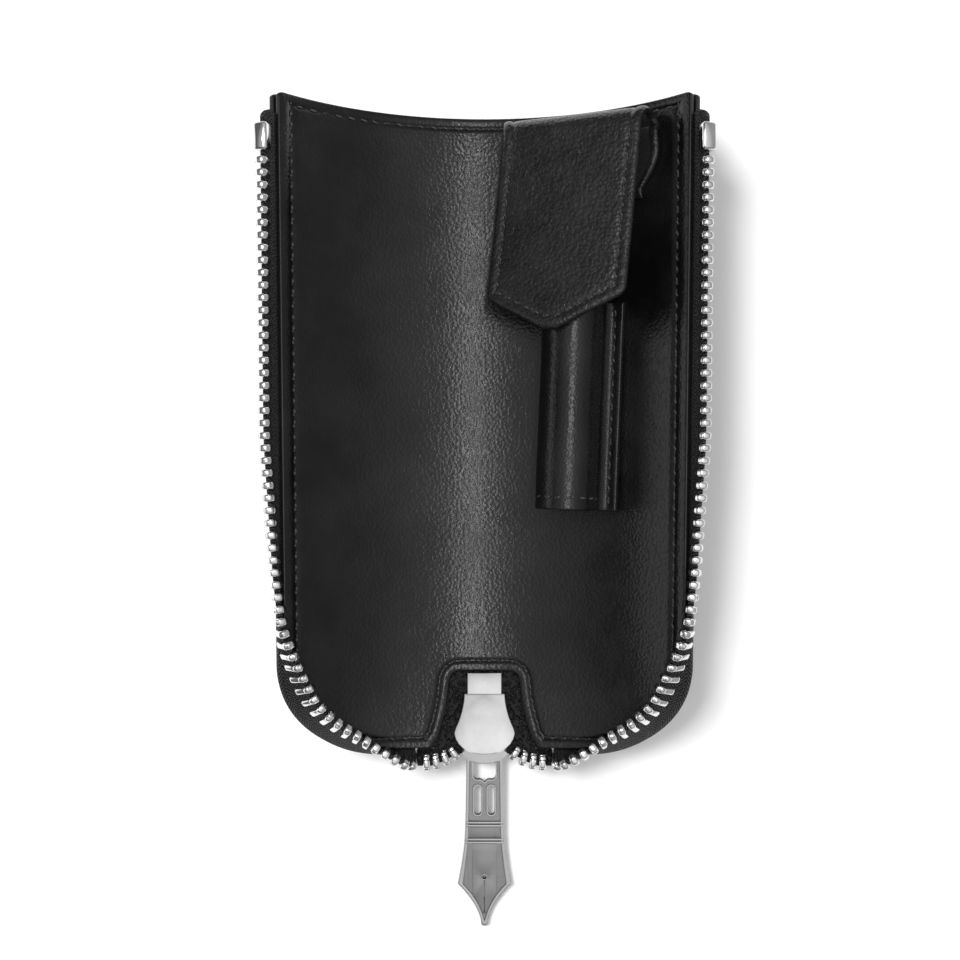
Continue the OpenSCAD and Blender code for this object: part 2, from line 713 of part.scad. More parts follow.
loop_y = top_y - loop_down;
loop_wall = flap_t + suede_t;
loop_h = dish(flap_w / 2 + flap_shift) + sleeve_lift + loop_r;
fold_h = loop_h + loop_r;
flap_slope = atan((sleeve_lift + 2 * sleeve_outer_r + flap_clear + loop_wall - fold_h)
                  / (loop_y - sleeve_top_y));

// The loop at the top of the flap
module flap_loop() color("#2b2a2b") on_cover()
    translate([-flap_w / 2 - flap_shift, loop_y, loop_h]) rotate([90, 0, 90]) linear_extrude(flap_w)
        intersection() {
            difference() {
                circle(r = loop_r, $fn = round_fn);
                circle(r = loop_r - loop_wall, $fn = round_fn);
            }
            translate([0, -2 * loop_r]) square([2 * loop_r, 4 * loop_r]);
        }

// The back of the flap is sewn to the lining and follows its curve
back_t = 1.5;
back_gap = 0.2;
back_extra = 3;
back_cut = 8;
back_fn = 3 * round_fn;
module flap_back() color("#2b2a2b")
    translate([0, loop_y - flap_gap, stack_t + trough_r]) rotate([90, 0, 0])
        linear_extrude(back_length) intersection() {
            difference() {
                circle(r = trough_r - back_gap, $fn = back_fn);
                circle(r = trough_r - back_gap - back_t, $fn = back_fn);
            }
            rotate(sleeve_phi) translate([-flap_w / 2, -trough_r])
                square([flap_w + back_extra, back_cut]);
        }

// Outline of the flap, from its fold line down to its blunt point
point_half = 1.5;
flap_steps = 5;
point_fall = atan(flap_point / (flap_w / 2 - point_half));
module flap_outline(inset) {
    half = flap_w / 2 - inset;
    r = flap_corner_r;
    corner_up = flap_point - flap_length + r / cos(point_fall) - r * tan(point_fall)
                + inset * (1 / cos(point_fall) - tan(point_fall));
    corner = [for (i = [0 : flap_steps]) let (a = (point_fall - 90) * (1 - i / flap_steps))
              [half - r + r * cos(a), corner_up + r * sin(a)]];
    side = concat([[point_half, -flap_length + inset]], corner, [[half, -flap_gap]]);
    n = len(side);
    polygon(concat(side, [for (i = [n - 1 : -1 : 0]) [-side[i][0], side[i][1]]]));
}

module in_flap_frame() on_cover() translate([-flap_shift, loop_y, fold_h])
    rotate([-flap_slope, 0, 0]) children();
module flap_front() color("#2e2d2e") in_flap_frame()
    translate([0, 0, -flap_t]) linear_extrude(flap_t) flap_outline(0);
suede_inset = 0.6;
module flap_suede() color("#4a4643") in_flap_frame()
    translate([0, 0, -loop_wall]) linear_extrude(suede_t - layer_gap) flap_outline(suede_inset);

// ---- Stitching ----

module stitch() translate([-stitch_length / 2, -thread_t / 2, 0])
    cube([stitch_length, thread_t, thread_t / 2]);

// Stitches along a list of points on the lining, each laid along the next step of the list
thread_gap = 0.03;
module stitch_line(points) for (k = [0 : len(points) - 2])
    let (a = points[k], b = points[k + 1], m = (a + b) / 2,
         p = surf(m[0], m[1]), path = unit(surf(b[0], b[1]) - surf(a[0], a[1])),
         away = [-p[0] / trough_r, 0, sqrt(1 - pow(p[0] / trough_r, 2))],
         across = unit(cross(away, path)), up = cross(path, across))
        in_frame([path, across, up, p + up * thread_gap]) stitch();

// Points at even steps round a cover's edge, then up the side of the notch
corner_run = (corner_r - stitch_inset) * PI / 2;
side_stitches = floor((top_y - stitch_inset - corner_y) / stitch_pitch);
corner_stitches = floor(corner_run / stitch_pitch);
bottom_stitches = floor((corner_x - notch_half - notch_flare - stitch_inset) / stitch_pitch);
notch_stitches = floor((notch_depth - stitch_inset) / stitch_pitch);
top_stitches = floor((half_width - 2 * stitch_inset - fold_half) / stitch_pitch);
module stitching(side) color("#0e0e0e") on_side(side) {
    stitch_line([for (k = [0 : top_stitches])
        [half_width - stitch_inset - k * stitch_pitch, top_y - stitch_inset]]);
    stitch_line([for (k = [0 : side_stitches]) let (y = top_y - stitch_inset - k * stitch_pitch)
        [side_x(y) - stitch_inset, y]]);
    stitch_line([for (k = [0 : corner_stitches]) let (a = 90 * k / corner_stitches)
        [corner_x + (corner_r - stitch_inset) * cos(a), corner_y - (corner_r - stitch_inset) * sin(a)]]);
    stitch_line([for (k = [0 : bottom_stitches])
        [corner_x - k * stitch_pitch, bottom_y + stitch_inset]]);
    stitch_line([for (k = [0 : notch_stitches]) let (y = bottom_y + stitch_inset + k * stitch_pitch)
        [notch_x(y) + stitch_inset, y]]);
}

spine_stitches = floor(2 * (fold_half - fold_gap) / stitch_pitch) - 1;
module stitching_spine() color("#0e0e0e")
    for (y = [top_y - stitch_inset, notch_y + stitch_inset])
        stitch_line([for (k = [0 : spine_stitches])
            [(k - spine_stitches / 2) * stitch_pitch, y]]);

sleeve_stitches = floor((sleeve_length - 2 * stitch_inset) / stitch_pitch);
flange_stitch_x = flange_reach - 2;
module stitching_sleeve() color("#0e0e0e") in_sleeve_frame()
    for (k = [0 : sleeve_stitches])
        translate([flange_stitch_x, (k - sleeve_stitches / 2) * stitch_pitch,
                   sleeve_t + sleeve_lift + thread_gap + dish(flange_stitch_x)])
            rotate([0, -asin(flange_stitch_x / trough_r), 0]) rotate([0, 0, 90]) stitch();

flap_stitches = floor((flap_length - flap_point - 2 * stitch_inset) / stitch_pitch);
point_stitches = floor((flap_w / 2 - 2 * stitch_inset) / stitch_pitch / cos(point_fall));
module stitching_flap() color("#0e0e0e") in_flap_frame() for (side = [left, right]) {
    for (k = [0 : flap_stitches])
        translate([side * (flap_w / 2 - stitch_inset), -stitch_inset - k * stitch_pitch,
                   thread_gap])
            rotate([0, 0, 90]) stitch();
    translate([0, stitch_inset / cos(point_fall) - flap_length, thread_gap])
        rotate([0, 0, side * point_fall])
            for (k = [0 : point_stitches])
                translate([side * (point_half + k * stitch_pitch), 0, 0]) stitch();
}

outer_leather_spine();
outer_leather(left);  // outer_leather_left
outer_leather(right);  // outer_leather_right
spine_board();
cover_board(left);  // cover_board_left
cover_board(right);  // cover_board_right
lining_spine();
lining(left);  // lining_left
lining(right);  // lining_right
zip_tape(left);  // zip_tape_left
zip_tape(right);  // zip_tape_right
notch_tape(left);  // notch_tape_left
notch_tape(right);  // notch_tape_right
zip_teeth(left);  // zip_teeth_left
zip_teeth(right);  // zip_teeth_right
lead_teeth(left);  // lead_teeth_left
lead_teeth(right);  // lead_teeth_right
closed_teeth();
bottom_stop();
top_stop(left);  // top_stop_left
top_stop(right);  // top_stop_right
slider_inner_plate();
slider_outer_plate();
slider_wedge();
slider_bridge();
teeth_in_slider();
nib_puller();
pen_sleeve();
flap_back();
flap_loop();
flap_front();
flap_suede();
stitching(left);  // stitching_left
stitching(right);  // stitching_right
stitching_spine();
stitching_sleeve();
stitching_flap();
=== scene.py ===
# %% [markdown]
# # A zip-around leather case for one pen
#
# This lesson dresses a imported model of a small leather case. The case lies open on a pale table.
# Two stiff covers turn on a narrow spine, and a metal zip runs round three of their sides. One
# cover carries a round sleeve for the pen, with a soft flap over it, and the zip's puller has
# the shape of a pen's nib.
#
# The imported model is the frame: it says where every piece is and how it moves. Each step below
# makes one piece or one finish, puts it where the frame says, and lets it ride on its body.

# %% Load the frame
import json
import math

import bmesh
import bpy
import numpy as np
from mathutils import Matrix, Vector
from mathutils.geometry import delaunay_2d_cdt

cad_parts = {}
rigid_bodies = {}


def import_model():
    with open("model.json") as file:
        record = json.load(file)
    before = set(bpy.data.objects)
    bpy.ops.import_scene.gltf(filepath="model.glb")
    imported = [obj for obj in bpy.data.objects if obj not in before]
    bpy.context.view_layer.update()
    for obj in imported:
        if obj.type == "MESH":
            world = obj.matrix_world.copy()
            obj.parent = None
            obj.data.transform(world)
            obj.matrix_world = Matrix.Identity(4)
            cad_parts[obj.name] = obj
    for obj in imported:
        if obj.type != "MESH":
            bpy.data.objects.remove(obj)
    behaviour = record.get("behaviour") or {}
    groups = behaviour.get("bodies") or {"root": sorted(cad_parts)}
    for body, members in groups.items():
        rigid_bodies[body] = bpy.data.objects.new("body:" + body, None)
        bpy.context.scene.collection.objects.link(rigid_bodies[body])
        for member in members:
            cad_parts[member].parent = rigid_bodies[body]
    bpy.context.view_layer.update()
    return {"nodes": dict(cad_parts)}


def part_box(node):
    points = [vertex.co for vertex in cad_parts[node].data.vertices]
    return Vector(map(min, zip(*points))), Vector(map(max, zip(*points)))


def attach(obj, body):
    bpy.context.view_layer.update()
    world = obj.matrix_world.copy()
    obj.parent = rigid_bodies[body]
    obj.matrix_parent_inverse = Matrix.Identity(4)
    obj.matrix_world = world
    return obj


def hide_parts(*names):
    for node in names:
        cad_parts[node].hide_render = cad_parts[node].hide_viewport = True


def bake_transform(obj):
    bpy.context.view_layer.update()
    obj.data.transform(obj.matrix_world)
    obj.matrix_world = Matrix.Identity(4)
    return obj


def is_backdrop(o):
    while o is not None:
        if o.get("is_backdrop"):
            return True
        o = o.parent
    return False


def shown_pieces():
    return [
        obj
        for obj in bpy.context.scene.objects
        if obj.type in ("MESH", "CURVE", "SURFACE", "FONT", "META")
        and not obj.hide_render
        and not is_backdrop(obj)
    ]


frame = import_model()
MM = 0.001

# %% [markdown]
# ## The camera comes first
#
# The camera looks straight down, a little under 30 cm above the table.

# %% Camera
CAMERA_AT = Vector((-1.1, 10.8, 295.6)) * MM
FOCAL_LENGTH = 44.25

camera = bpy.data.objects.new("camera", bpy.data.cameras.new("camera"))
camera.data.lens = FOCAL_LENGTH
camera.data.sensor_width = 36
camera.data.clip_start = 0.01
camera.location = CAMERA_AT
bpy.context.scene.collection.objects.link(camera)
bpy.context.scene.camera = camera
bpy.context.scene.view_settings.view_transform = "Standard"
print("camera height above the table, mm:", round(camera.location.z / MM, 1))

# %% [markdown]
# ## Measures
#
# The ends and the width come from the frame. The rest are the sizes that the leather worker
# would choose: how the covers curve, how thick each layer is, and how the zip leans.

# %% Measures of the covers
BOTTOM_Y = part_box("lining_left")[0].y
TOP_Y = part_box("lining_left")[1].y
SIDE_TAPER = 1.3 * MM
CORNER_R = 22 * MM
TROUGH_R = 63 * MM
END_LIFT = 5.2 * MM
LIFT_LENGTH = 34.2 * MM
LIFT_HALF = 38 * MM
SHELL_T = 1.4 * MM
CORE_T = 1.0 * MM
LINING_T = 1.2 * MM
HALF_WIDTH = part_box("lining_right")[1].x / (1 + LINING_T / TROUGH_R)
STACK_T = SHELL_T + CORE_T + LINING_T
CORE_MID = LINING_T + CORE_T / 2
NOTCH_DEPTH = 18 * MM
NOTCH_HALF = 8.5 * MM
NOTCH_FLARE = 3.7 * MM
NOTCH_CORNER_R = 2.4 * MM
NOTCH_Y = BOTTOM_Y + NOTCH_DEPTH
CORNER_X = HALF_WIDTH - SIDE_TAPER - CORNER_R
CORNER_Y = BOTTOM_Y + CORNER_R
print("covers, mm:", round((TOP_Y - BOTTOM_Y) / MM, 1), "long,", round(2 * HALF_WIDTH / MM, 1), "wide")

# %% [markdown]
# The open covers make a shallow trough, part of a cylinder. Its bottom end lifts in the
# middle to make room for the zip's slider. One function gives a point of this surface at any
# depth below the lining's face, and every layer is made from it, so the layers stay parallel.

# %% The surface of the open covers
def end_rise(up):
    return END_LIFT * np.maximum(0, (LIFT_LENGTH - up) / LIFT_LENGTH) ** 2


def surface(x, y, depth=0.0):
    """Points on the covers, at a depth below the lining's face."""
    x, y = np.asarray(x, float), np.asarray(y, float)
    rise = end_rise(y - BOTTOM_Y) * np.maximum(0, 1 - (x / LIFT_HALF) ** 2)
    bowl = TROUGH_R - (TROUGH_R + depth) * np.sqrt(1 - (x / TROUGH_R) ** 2)
    return np.stack(np.broadcast_arrays(x + depth * x / TROUGH_R, y, STACK_T + bowl + rise), -1)


def unit(v):
    v = np.asarray(v, float)
    return v / np.maximum(np.linalg.norm(v, axis=-1, keepdims=True), 1e-12)


def surface_normal(x, y):
    step = 0.05 * MM
    across = surface(x + step, y) - surface(x - step, y)
    along = surface(x, y + step) - surface(x, y - step)
    return unit(np.cross(across, along))


def side_x(y):
    return HALF_WIDTH - SIDE_TAPER * (TOP_Y - y) / (TOP_Y - CORNER_Y)


def notch_x(y):
    return NOTCH_HALF + NOTCH_FLARE * (np.maximum(0, NOTCH_Y - y) / NOTCH_DEPTH) ** 2


print("lift at the bottom, mm:", round(float(end_rise(0)) / MM, 2))

# %% [markdown]
# ## Helpers that make meshes
#
# Most pieces start as arrays of points. A small set of helpers turns them into objects: a
# lofted tube or strip from rows of points, a slab from flat outlines, and a thick sheet
# of leather from one outline on the covers.

# %% Objects from points and faces
def make_object(name, points, faces, body, node_names=(),
                sharp=None, uv=None, face_kind=None):
    """A mesh object that rides on a body and may stand for some nodes of the frame."""
    mesh = bpy.data.meshes.new(name)
    mesh.from_pydata([tuple(p) for p in points], [], [tuple(f) for f in faces])
    if uv is not None:
        corners = np.empty(len(mesh.loops), int)
        mesh.loops.foreach_get("vertex_index", corners)
        layer = mesh.uv_layers.new(name="lay")
        layer.data.foreach_set("uv", np.asarray(uv, float)[corners].ravel())
    if face_kind is not None:
        mesh.polygons.foreach_set("material_index", np.asarray(face_kind, np.int32))
    bm = bmesh.new()
    bm.from_mesh(mesh)
    bmesh.ops.recalc_face_normals(bm, faces=bm.faces)
    bm.to_mesh(mesh)
    bm.free()
    mesh.shade_smooth()
    if sharp is not None:
        mesh.set_sharp_from_angle(angle=math.radians(sharp))
    obj = bpy.data.objects.new(name, mesh)
    bpy.context.scene.collection.objects.link(obj)
    if body:
        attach(obj, body)
    if node_names:
        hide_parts(*node_names)
    return obj


def grid_faces(rows, cols, closed_cols=False):
    """Quads over a grid of points that is stored row by row."""
    faces = []
    for j in range(rows - 1):
        for i in range(cols if closed_cols else cols - 1):
            a, b = j * cols + i, j * cols + (i + 1) % cols
            faces.append((a, b, b + cols, a + cols))
    return faces


def loft(rings):
    """Points and faces of a tube through closed rings of equal length, with a cap at each end."""
    count = len(rings[0])
    points = [p for ring in rings for p in ring]
    caps = [tuple(range(count)), tuple(range(len(points) - count, len(points)))]
    return points, grid_faces(len(rings), count, closed_cols=True) + caps


def gather(parts):
    """Joins several (points, faces) pairs into one."""
    points, faces = [], []
    for part_points, part_faces in parts:
        start = len(points)
        points += list(part_points)
        faces += [tuple(start + k for k in face) for face in part_faces]
    return np.array([tuple(p) for p in points]), faces


print("mesh helpers are ready")

# %% [markdown]
# A sheet of leather is cut to an outline. The outline is filled with small triangles that
# follow it in rings, so its edge can be rounded and its border can dip under the stitches.
# Blender's own triangulation of flat outlines does the filling. A grid would be simpler, but
# it couldn't follow the notch and the round corners.

# %% The outline of the open covers
EDGE_STEP = 1.2 * MM
SEAM = 0.05 * MM
NOTCH_FOOT_R = 1.5 * MM
TOP_CORNER_R = 1.0 * MM


def arc(cx, cy, r, start, end, steps):
    angles = np.radians(np.linspace(start, end, steps + 1))
    return [(cx + r * math.cos(a), cy + r * math.sin(a)) for a in angles]


def spread(a, b, step):
    count = max(1, round(math.dist(a, b) / step))
    return [(a[0] + (b[0] - a[0]) * k / count, a[1] + (b[1] - a[1]) * k / count)
            for k in range(count)]


def half_outline():
    """The right-hand half: up the notch's middle, down its side, round the corner, up to the top."""
    r, foot_r, top_r = NOTCH_CORNER_R, NOTCH_FOOT_R, TOP_CORNER_R
    inner_y = NOTCH_Y - r
    notch = [(0, NOTCH_Y)] + spread((SEAM, NOTCH_Y), (NOTCH_HALF - r, NOTCH_Y), EDGE_STEP)
    notch += arc(NOTCH_HALF - r, inner_y, r, 90, 0, 6)
    notch += [(float(notch_x(y)), y)
              for y in np.arange(inner_y - EDGE_STEP, BOTTOM_Y + foot_r, -EDGE_STEP)]
    foot_x = float(notch_x(BOTTOM_Y)) + foot_r
    notch += arc(foot_x, BOTTOM_Y + foot_r, foot_r, 180, 270, 4)
    bottom = spread((foot_x + EDGE_STEP, BOTTOM_Y), (CORNER_X, BOTTOM_Y), EDGE_STEP)
    corner = arc(CORNER_X, CORNER_Y, CORNER_R, -90, 0, 26)
    side = spread((side_x(CORNER_Y + EDGE_STEP), CORNER_Y + EDGE_STEP),
                  (HALF_WIDTH, TOP_Y - top_r), EDGE_STEP)
    top_corner = arc(HALF_WIDTH - top_r, TOP_Y - top_r, top_r, 0, 90, 4)
    top = spread((HALF_WIDTH - top_r - EDGE_STEP, TOP_Y), (SEAM, TOP_Y), EDGE_STEP) + [(SEAM, TOP_Y)]
    return notch + bottom + corner + side + top_corner + top


def full_outline():
    half = half_outline()
    mirrored = [(-x, y) for x, y in reversed(half) if x > 1e-6]
    return np.array(half + [(0, TOP_Y)] + mirrored)


def inset_loop(loop, distance):
    """Moves a closed loop to its left by a distance: inward on a loop that runs anticlockwise."""
    loop = np.asarray(loop, float)
    back, ahead = loop - np.roll(loop, 1, 0), np.roll(loop, -1, 0) - loop
    normal_a = unit(np.stack([-back[:, 1], back[:, 0]], -1))
    normal_b = unit(np.stack([-ahead[:, 1], ahead[:, 0]], -1))
    mid = unit(normal_a + normal_b)
    stretch = np.clip((mid * normal_a).sum(-1, keepdims=True), 0.5, 1)
    return loop + mid * distance / stretch


cover_outline = full_outline()
print("points on the covers' outline:", len(cover_outline))

# %% [markdown]
# The fill needs three kinds of points: rings close to the edge, where the leather's shape
# changes fast, an even field of triangles inside them, and straight lines of points along the
# spine, where the sheet is split.

# %% Fill an outline with rings and a grid
FILL_SPACING = 2.6 * MM
ROW_SPACING = 0.866
CORE_CLEARANCE, LINE_CLEARANCE = 0.7, 0.4
ON_LINE = 1e-7


def inside(points, loop):
    """Which points lie inside a closed loop."""
    x, y = points[:, 0][:, None], points[:, 1][:, None]
    x1, y1 = loop[:, 0][None], loop[:, 1][None]
    x2, y2 = np.roll(loop[:, 0], -1)[None], np.roll(loop[:, 1], -1)[None]
    crosses = (y1 > y) != (y2 > y)
    with np.errstate(divide="ignore", invalid="ignore"):
        at = (x2 - x1) * (y - y1) / (y2 - y1) + x1
    return (crosses & (x < at)).sum(1) % 2 == 1


def fill_outline(loop, distances, spacing, lines=()):
    """Flat triangles inside a loop. The first rings follow it at the given distances."""
    rings = [inset_loop(loop, d) for d in distances]
    points, edges = [], []
    for ring in rings:
        start = len(points)
        points += [tuple(p) for p in ring]
        edges += [(start + k, start + (k + 1) % len(ring)) for k in range(len(ring))]
    low, high = loop.min(0), loop.max(0)
    core = inset_loop(loop, distances[-1] + spacing * CORE_CLEARANCE)
    xs = np.arange(low[0], high[0], spacing)
    ys = np.arange(low[1], high[1], spacing * ROW_SPACING)
    cloud = np.array([(x + (spacing / 2 if j % 2 else 0), y) for j, y in enumerate(ys) for x in xs])
    cloud = cloud[inside(cloud, core)]
    for line_x in lines:
        cloud = cloud[np.abs(cloud[:, 0] - line_x) > spacing * LINE_CLEARANCE]
        ends = sorted(y for x, y in loop if abs(x - line_x) < ON_LINE)
        if len(ends) == 2:
            count = 2 + int((ends[1] - ends[0]) / spacing)
            line = [(line_x, y) for y in np.linspace(ends[0], ends[1], count)]
            start = len(points)
            points += line
            edges += [(start + k, start + k + 1) for k in range(len(line) - 1)]
    points += [tuple(p) for p in cloud]
    made, _, faces, *_ = delaunay_2d_cdt([Vector(p) for p in points], edges, [], 1, ON_LINE)
    return np.array([tuple(p) for p in made]), [tuple(f) for f in faces]


def distance_to(points, loop):
    """Distance from each point to a closed loop."""
    a, b = loop, np.roll(loop, -1, 0)
    best = np.full(len(points), np.inf)
    ab = b - a
    length_sq = np.maximum((ab ** 2).sum(-1), 1e-18)
    for k in range(len(loop)):
        t = np.clip(((points - a[k]) @ ab[k]) / length_sq[k], 0, 1)
        best = np.minimum(best, np.linalg.norm(points - (a[k] + t[:, None] * ab[k]), axis=-1))
    return best


RINGS = np.array([0, 0.04, 0.14, 0.36, 0.9, 1.45, 1.95, 2.25, 2.5, 2.75, 3.1, 3.7, 4.8]) * MM
flat_points, flat_faces = fill_outline(cover_outline, RINGS, FILL_SPACING, (-SEAM, 0.0, SEAM))
flat_points[np.abs(flat_points[:, 0]) < ON_LINE, 0] = 0.0
edge_distance = distance_to(flat_points, cover_outline)
print("points of the fill:", len(flat_points), "triangles:", len(flat_faces))

# %% [markdown]
# ## The leather covers
#
# Each cover has a shell outside and a lining inside, with a board and the zip's tape between
# them. Both sheets are split along the spine's middle into two halves. A thin strip of faces
# beside the split keeps the light smooth across it. The border dips where the thread pulls it
# down.

# %% Cut a sheet of leather to the outline
EDGE_R = 0.36 * MM
STITCH_INSET = 2.5 * MM
THREAD_DIP, GROOVE_HALF = 0.34 * MM, 0.45 * MM
PUFF, PUFF_AT, PUFF_HALF = 0.10 * MM, 1.3 * MM, 0.8 * MM
PAINT_REACH = 0.16 * MM
PAINTED_EDGE = 1


def rounded_edge(d):
    """How far a face falls at its rounded edge, at a distance from the outline."""
    inside_edge = np.clip(EDGE_R - d, 0, EDGE_R)
    return EDGE_R - np.sqrt(EDGE_R ** 2 - inside_edge ** 2)


def border_dip(d):
    """The thread's groove, with the border puffed a little on both sides of it."""
    groove = THREAD_DIP * np.exp(-((d - STITCH_INSET) / GROOVE_HALF) ** 2)
    puff = PUFF * np.exp(-((d - PUFF_AT) / PUFF_HALF) ** 2)
    return groove - puff


def bend_at_spine(obj):
    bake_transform(obj)
    return obj


def leather_half(name, side, near, far, nodes):
    """One half of a sheet that lies between two depths under the lining's face."""
    middle = flat_points[np.array(flat_faces)].mean(1)[:, 0] * side
    kept = [flat_faces[k] for k in np.flatnonzero(middle > 0)]
    used = sorted({v for face in kept for v in face})
    order = {v: k for k, v in enumerate(used)}
    kept = [tuple(order[v] for v in face) for face in kept]
    x, y = flat_points[used].T
    d = edge_distance[used]
    fall = rounded_edge(d)
    dip = border_dip(d)
    upper = surface(x, y, near + fall + dip)
    lower = surface(x, y, far - fall - dip * (near > 0))
    count = len(used)
    borders = {}
    for a, b, c in kept:
        for e in ((a, b), (b, c), (c, a)):
            borders[tuple(sorted(e))] = borders.get(tuple(sorted(e)), 0) + 1
    rim = [e for e, uses in borders.items()
           if uses == 1 and max(abs(x[e[0]]), abs(x[e[1]])) > ON_LINE]
    wall = [(a, b, b + count, a + count) for a, b in rim]
    faces = kept + [tuple(v + count for v in reversed(face)) for face in kept] + wall
    near_edge = (d[np.array(kept)].mean(1) < PAINT_REACH).astype(int)
    kind = list(near_edge) + list(near_edge) + [PAINTED_EDGE] * len(wall)
    lay = np.stack([TROUGH_R * np.arcsin(x / TROUGH_R), y], -1)
    obj = make_object(name, np.concatenate([upper, lower]), faces, None, nodes,
                      uv=np.concatenate([lay, lay + 1.0]), face_kind=kind)
    return bend_at_spine(obj)


linings = [leather_half("lining_half_left", -1, 0, LINING_T, ["lining_left"]),
           leather_half("lining_half_right", 1, 0, LINING_T, ["lining_right", "lining_spine"])]
shells = [leather_half("shell_half_left", -1, STACK_T - SHELL_T, STACK_T,
                       ["outer_leather_left"]),
          leather_half("shell_half_right", 1, STACK_T - SHELL_T, STACK_T,
                       ["outer_leather_right", "outer_leather_spine"])]
print("faces in one half of the lining:", len(linings[0].data.polygons))

# %% [markdown]
# ## The border stitches
#
# A saddle stitch shows as short, thick, slightly slanted dashes that sink into the leather.
# They could be painted on, but in raking light their shadows give them away, so each stitch
# is a small spindle of thread. One walk along the inset outline places them evenly.

# %% One stitch, and a line of stitches
STITCH_PITCH = 2.75 * MM
STITCH_LENGTH = 2.1 * MM
STITCH_SLANT = 9
THREAD_R = 0.27 * MM
THREAD_STANDS = 0.17 * MM


def stitch_shape(middle, along, up, slant=STITCH_SLANT):
    """A spindle of thread: six rings, thin at the ends where it dives into the leather."""
    along, up = unit(along), unit(up)
    across = np.cross(up, along)
    turned = along * math.cos(math.radians(slant)) + across * math.sin(math.radians(slant))
    across = np.cross(up, turned)
    rings = []
    for t in (-1, -0.72, -0.3, 0.3, 0.72, 1):
        girth = THREAD_R * math.sqrt(max(0.04, 1 - abs(t) ** 3))
        centre = middle + turned * t * STITCH_LENGTH / 2 - up * THREAD_R * 1.5 * t ** 4
        rings.append([centre + across * girth * 1.15 * math.cos(a) + up * girth * 0.8 * math.sin(a)
                      for a in np.linspace(0, 2 * math.pi, 7)[:-1]])
    return loft(rings)


def even_steps(line, pitch):
    """Places at even steps along a line of points: a middle and a direction for each."""
    line = np.asarray(line, float)
    runs = np.concatenate([[0], np.cumsum(np.linalg.norm(np.diff(line, axis=0), axis=-1))])
    count = max(1, int(runs[-1] / pitch))
    at = (np.arange(count) + 0.5) * runs[-1] / count
    middle, ahead, back = (np.stack([np.interp(place, runs, line[:, k]) for k in range(line.shape[1])], -1)
                           for place in (at, at + pitch / 4, at - pitch / 4))
    return middle, unit(ahead - back)


def stitches_along(line, lift, depth, facing, slant):
    """Stitches on the covers along a flat line, on the lining's side or the shell's."""
    middles, ways = even_steps(line, STITCH_PITCH)
    step = 0.2 * MM
    parts = []
    for (x, y), (dx, dy) in zip(middles, ways):
        up = facing * surface_normal(x, y)
        along = (surface(x + dx * step, y + dy * step, depth)
                 - surface(x - dx * step, y - dy * step, depth))
        parts.append(stitch_shape(surface(x, y, depth) + up * lift, along, up, slant * facing))
    return parts


SIDES = ((-1, "left"), (1, "right"))
stitch_loop = inset_loop(cover_outline, STITCH_INSET)
for side, word in SIDES:
    loop = stitch_loop if side > 0 else stitch_loop[::-1]
    line = [p for p in loop if p[0] * side >= -1e-9]
    cut = max(range(len(line)), key=lambda k: math.dist(line[k], line[k - 1]))
    line = line[cut:] + line[:cut]
    inner = stitches_along(line, -THREAD_DIP + THREAD_STANDS, 0, 1, STITCH_SLANT * side)
    outer = stitches_along(line, -THREAD_DIP + THREAD_STANDS, STACK_T, -1, STITCH_SLANT * side)
    points, faces = gather(inner + outer)
    nodes = ["stitching_left"] if side < 0 else ["stitching_right", "stitching_spine"]
    bend_at_spine(make_object("border_stitches_" + word, points, faces, None, nodes))
    print("stitches on the", word, "half:", len(inner))

# %% [markdown]
# ## The zip's tape
#
# The tape is sewn between the lining and the shell. It comes out at the edge, turns up and
# leans out, and ends in a thick cord that the teeth grip. Its edge is where the two covers
# meet when the case is closed, which fixes how high it stands at each place. The weave comes
# later from a shader, so the tape carries its own flat measures as a UV layer.

# %% Where the tape's edge runs
TAPE_T = 0.6 * MM
TAPE_TOP = TOP_Y - 4.9 * MM
Q_SIDE = TAPE_TOP - CORNER_Y
Q_CORNER = Q_SIDE + CORNER_R * math.pi / 2
LEAD_X = 16.5 * MM
Q_END = Q_CORNER + CORNER_X - LEAD_X
FOLD_X, FOLD_Z = 6 * MM, 5 * MM
FOLD_TO_TAPE = 4 * MM
CLOSE_ANGLE = math.radians(66.5)
END_RISE = 0.2 * MM
LEVEL_FROM, LEVEL_PAST_END = 4 * MM, 2 * MM


def edge_at(q):
    """Place on the cover's edge and the way out of it, at a run from the tape's top end."""
    q = np.asarray(q, float)
    turn = np.clip((q - Q_SIDE) / CORNER_R, 0, math.pi / 2)
    x = np.where(q < Q_SIDE, side_x(TAPE_TOP - np.minimum(q, Q_SIDE)),
                 CORNER_X + CORNER_R * np.cos(turn))
    x = np.where(q < Q_CORNER, x, CORNER_X - (q - Q_CORNER))
    y = np.where(q < Q_SIDE, TAPE_TOP - q, CORNER_Y - CORNER_R * np.sin(turn))
    return x, y, np.cos(turn), -np.sin(turn)


SIDE_LEAN, CORNER_LEAN = 3.3, -5.4
LEAN_KEYS = np.array([(Q_SIDE / MM - 52, SIDE_LEAN), (Q_SIDE / MM - 20, SIDE_LEAN - 1.9),
                      (Q_SIDE / MM - 8, SIDE_LEAN - 3.3), (Q_SIDE / MM + 3, CORNER_LEAN + 0.8),
                      ((Q_SIDE + Q_CORNER) / 2 / MM, CORNER_LEAN), (Q_CORNER / MM - 6, CORNER_LEAN + 0.9),
                      (Q_CORNER / MM, CORNER_LEAN + 4.4), (Q_CORNER / MM + 4, CORNER_LEAN + 7.8),
                      (Q_END / MM, 4.3)])


def lean_at(q):
    """How far the tape leans out, averaged over 8 mm so that it turns softly."""
    spans = np.arange(-4, 5)[:, None] + np.atleast_1d(q)[None] / MM
    return np.interp(spans, LEAN_KEYS[:, 0], LEAN_KEYS[:, 1]).mean(0) * MM


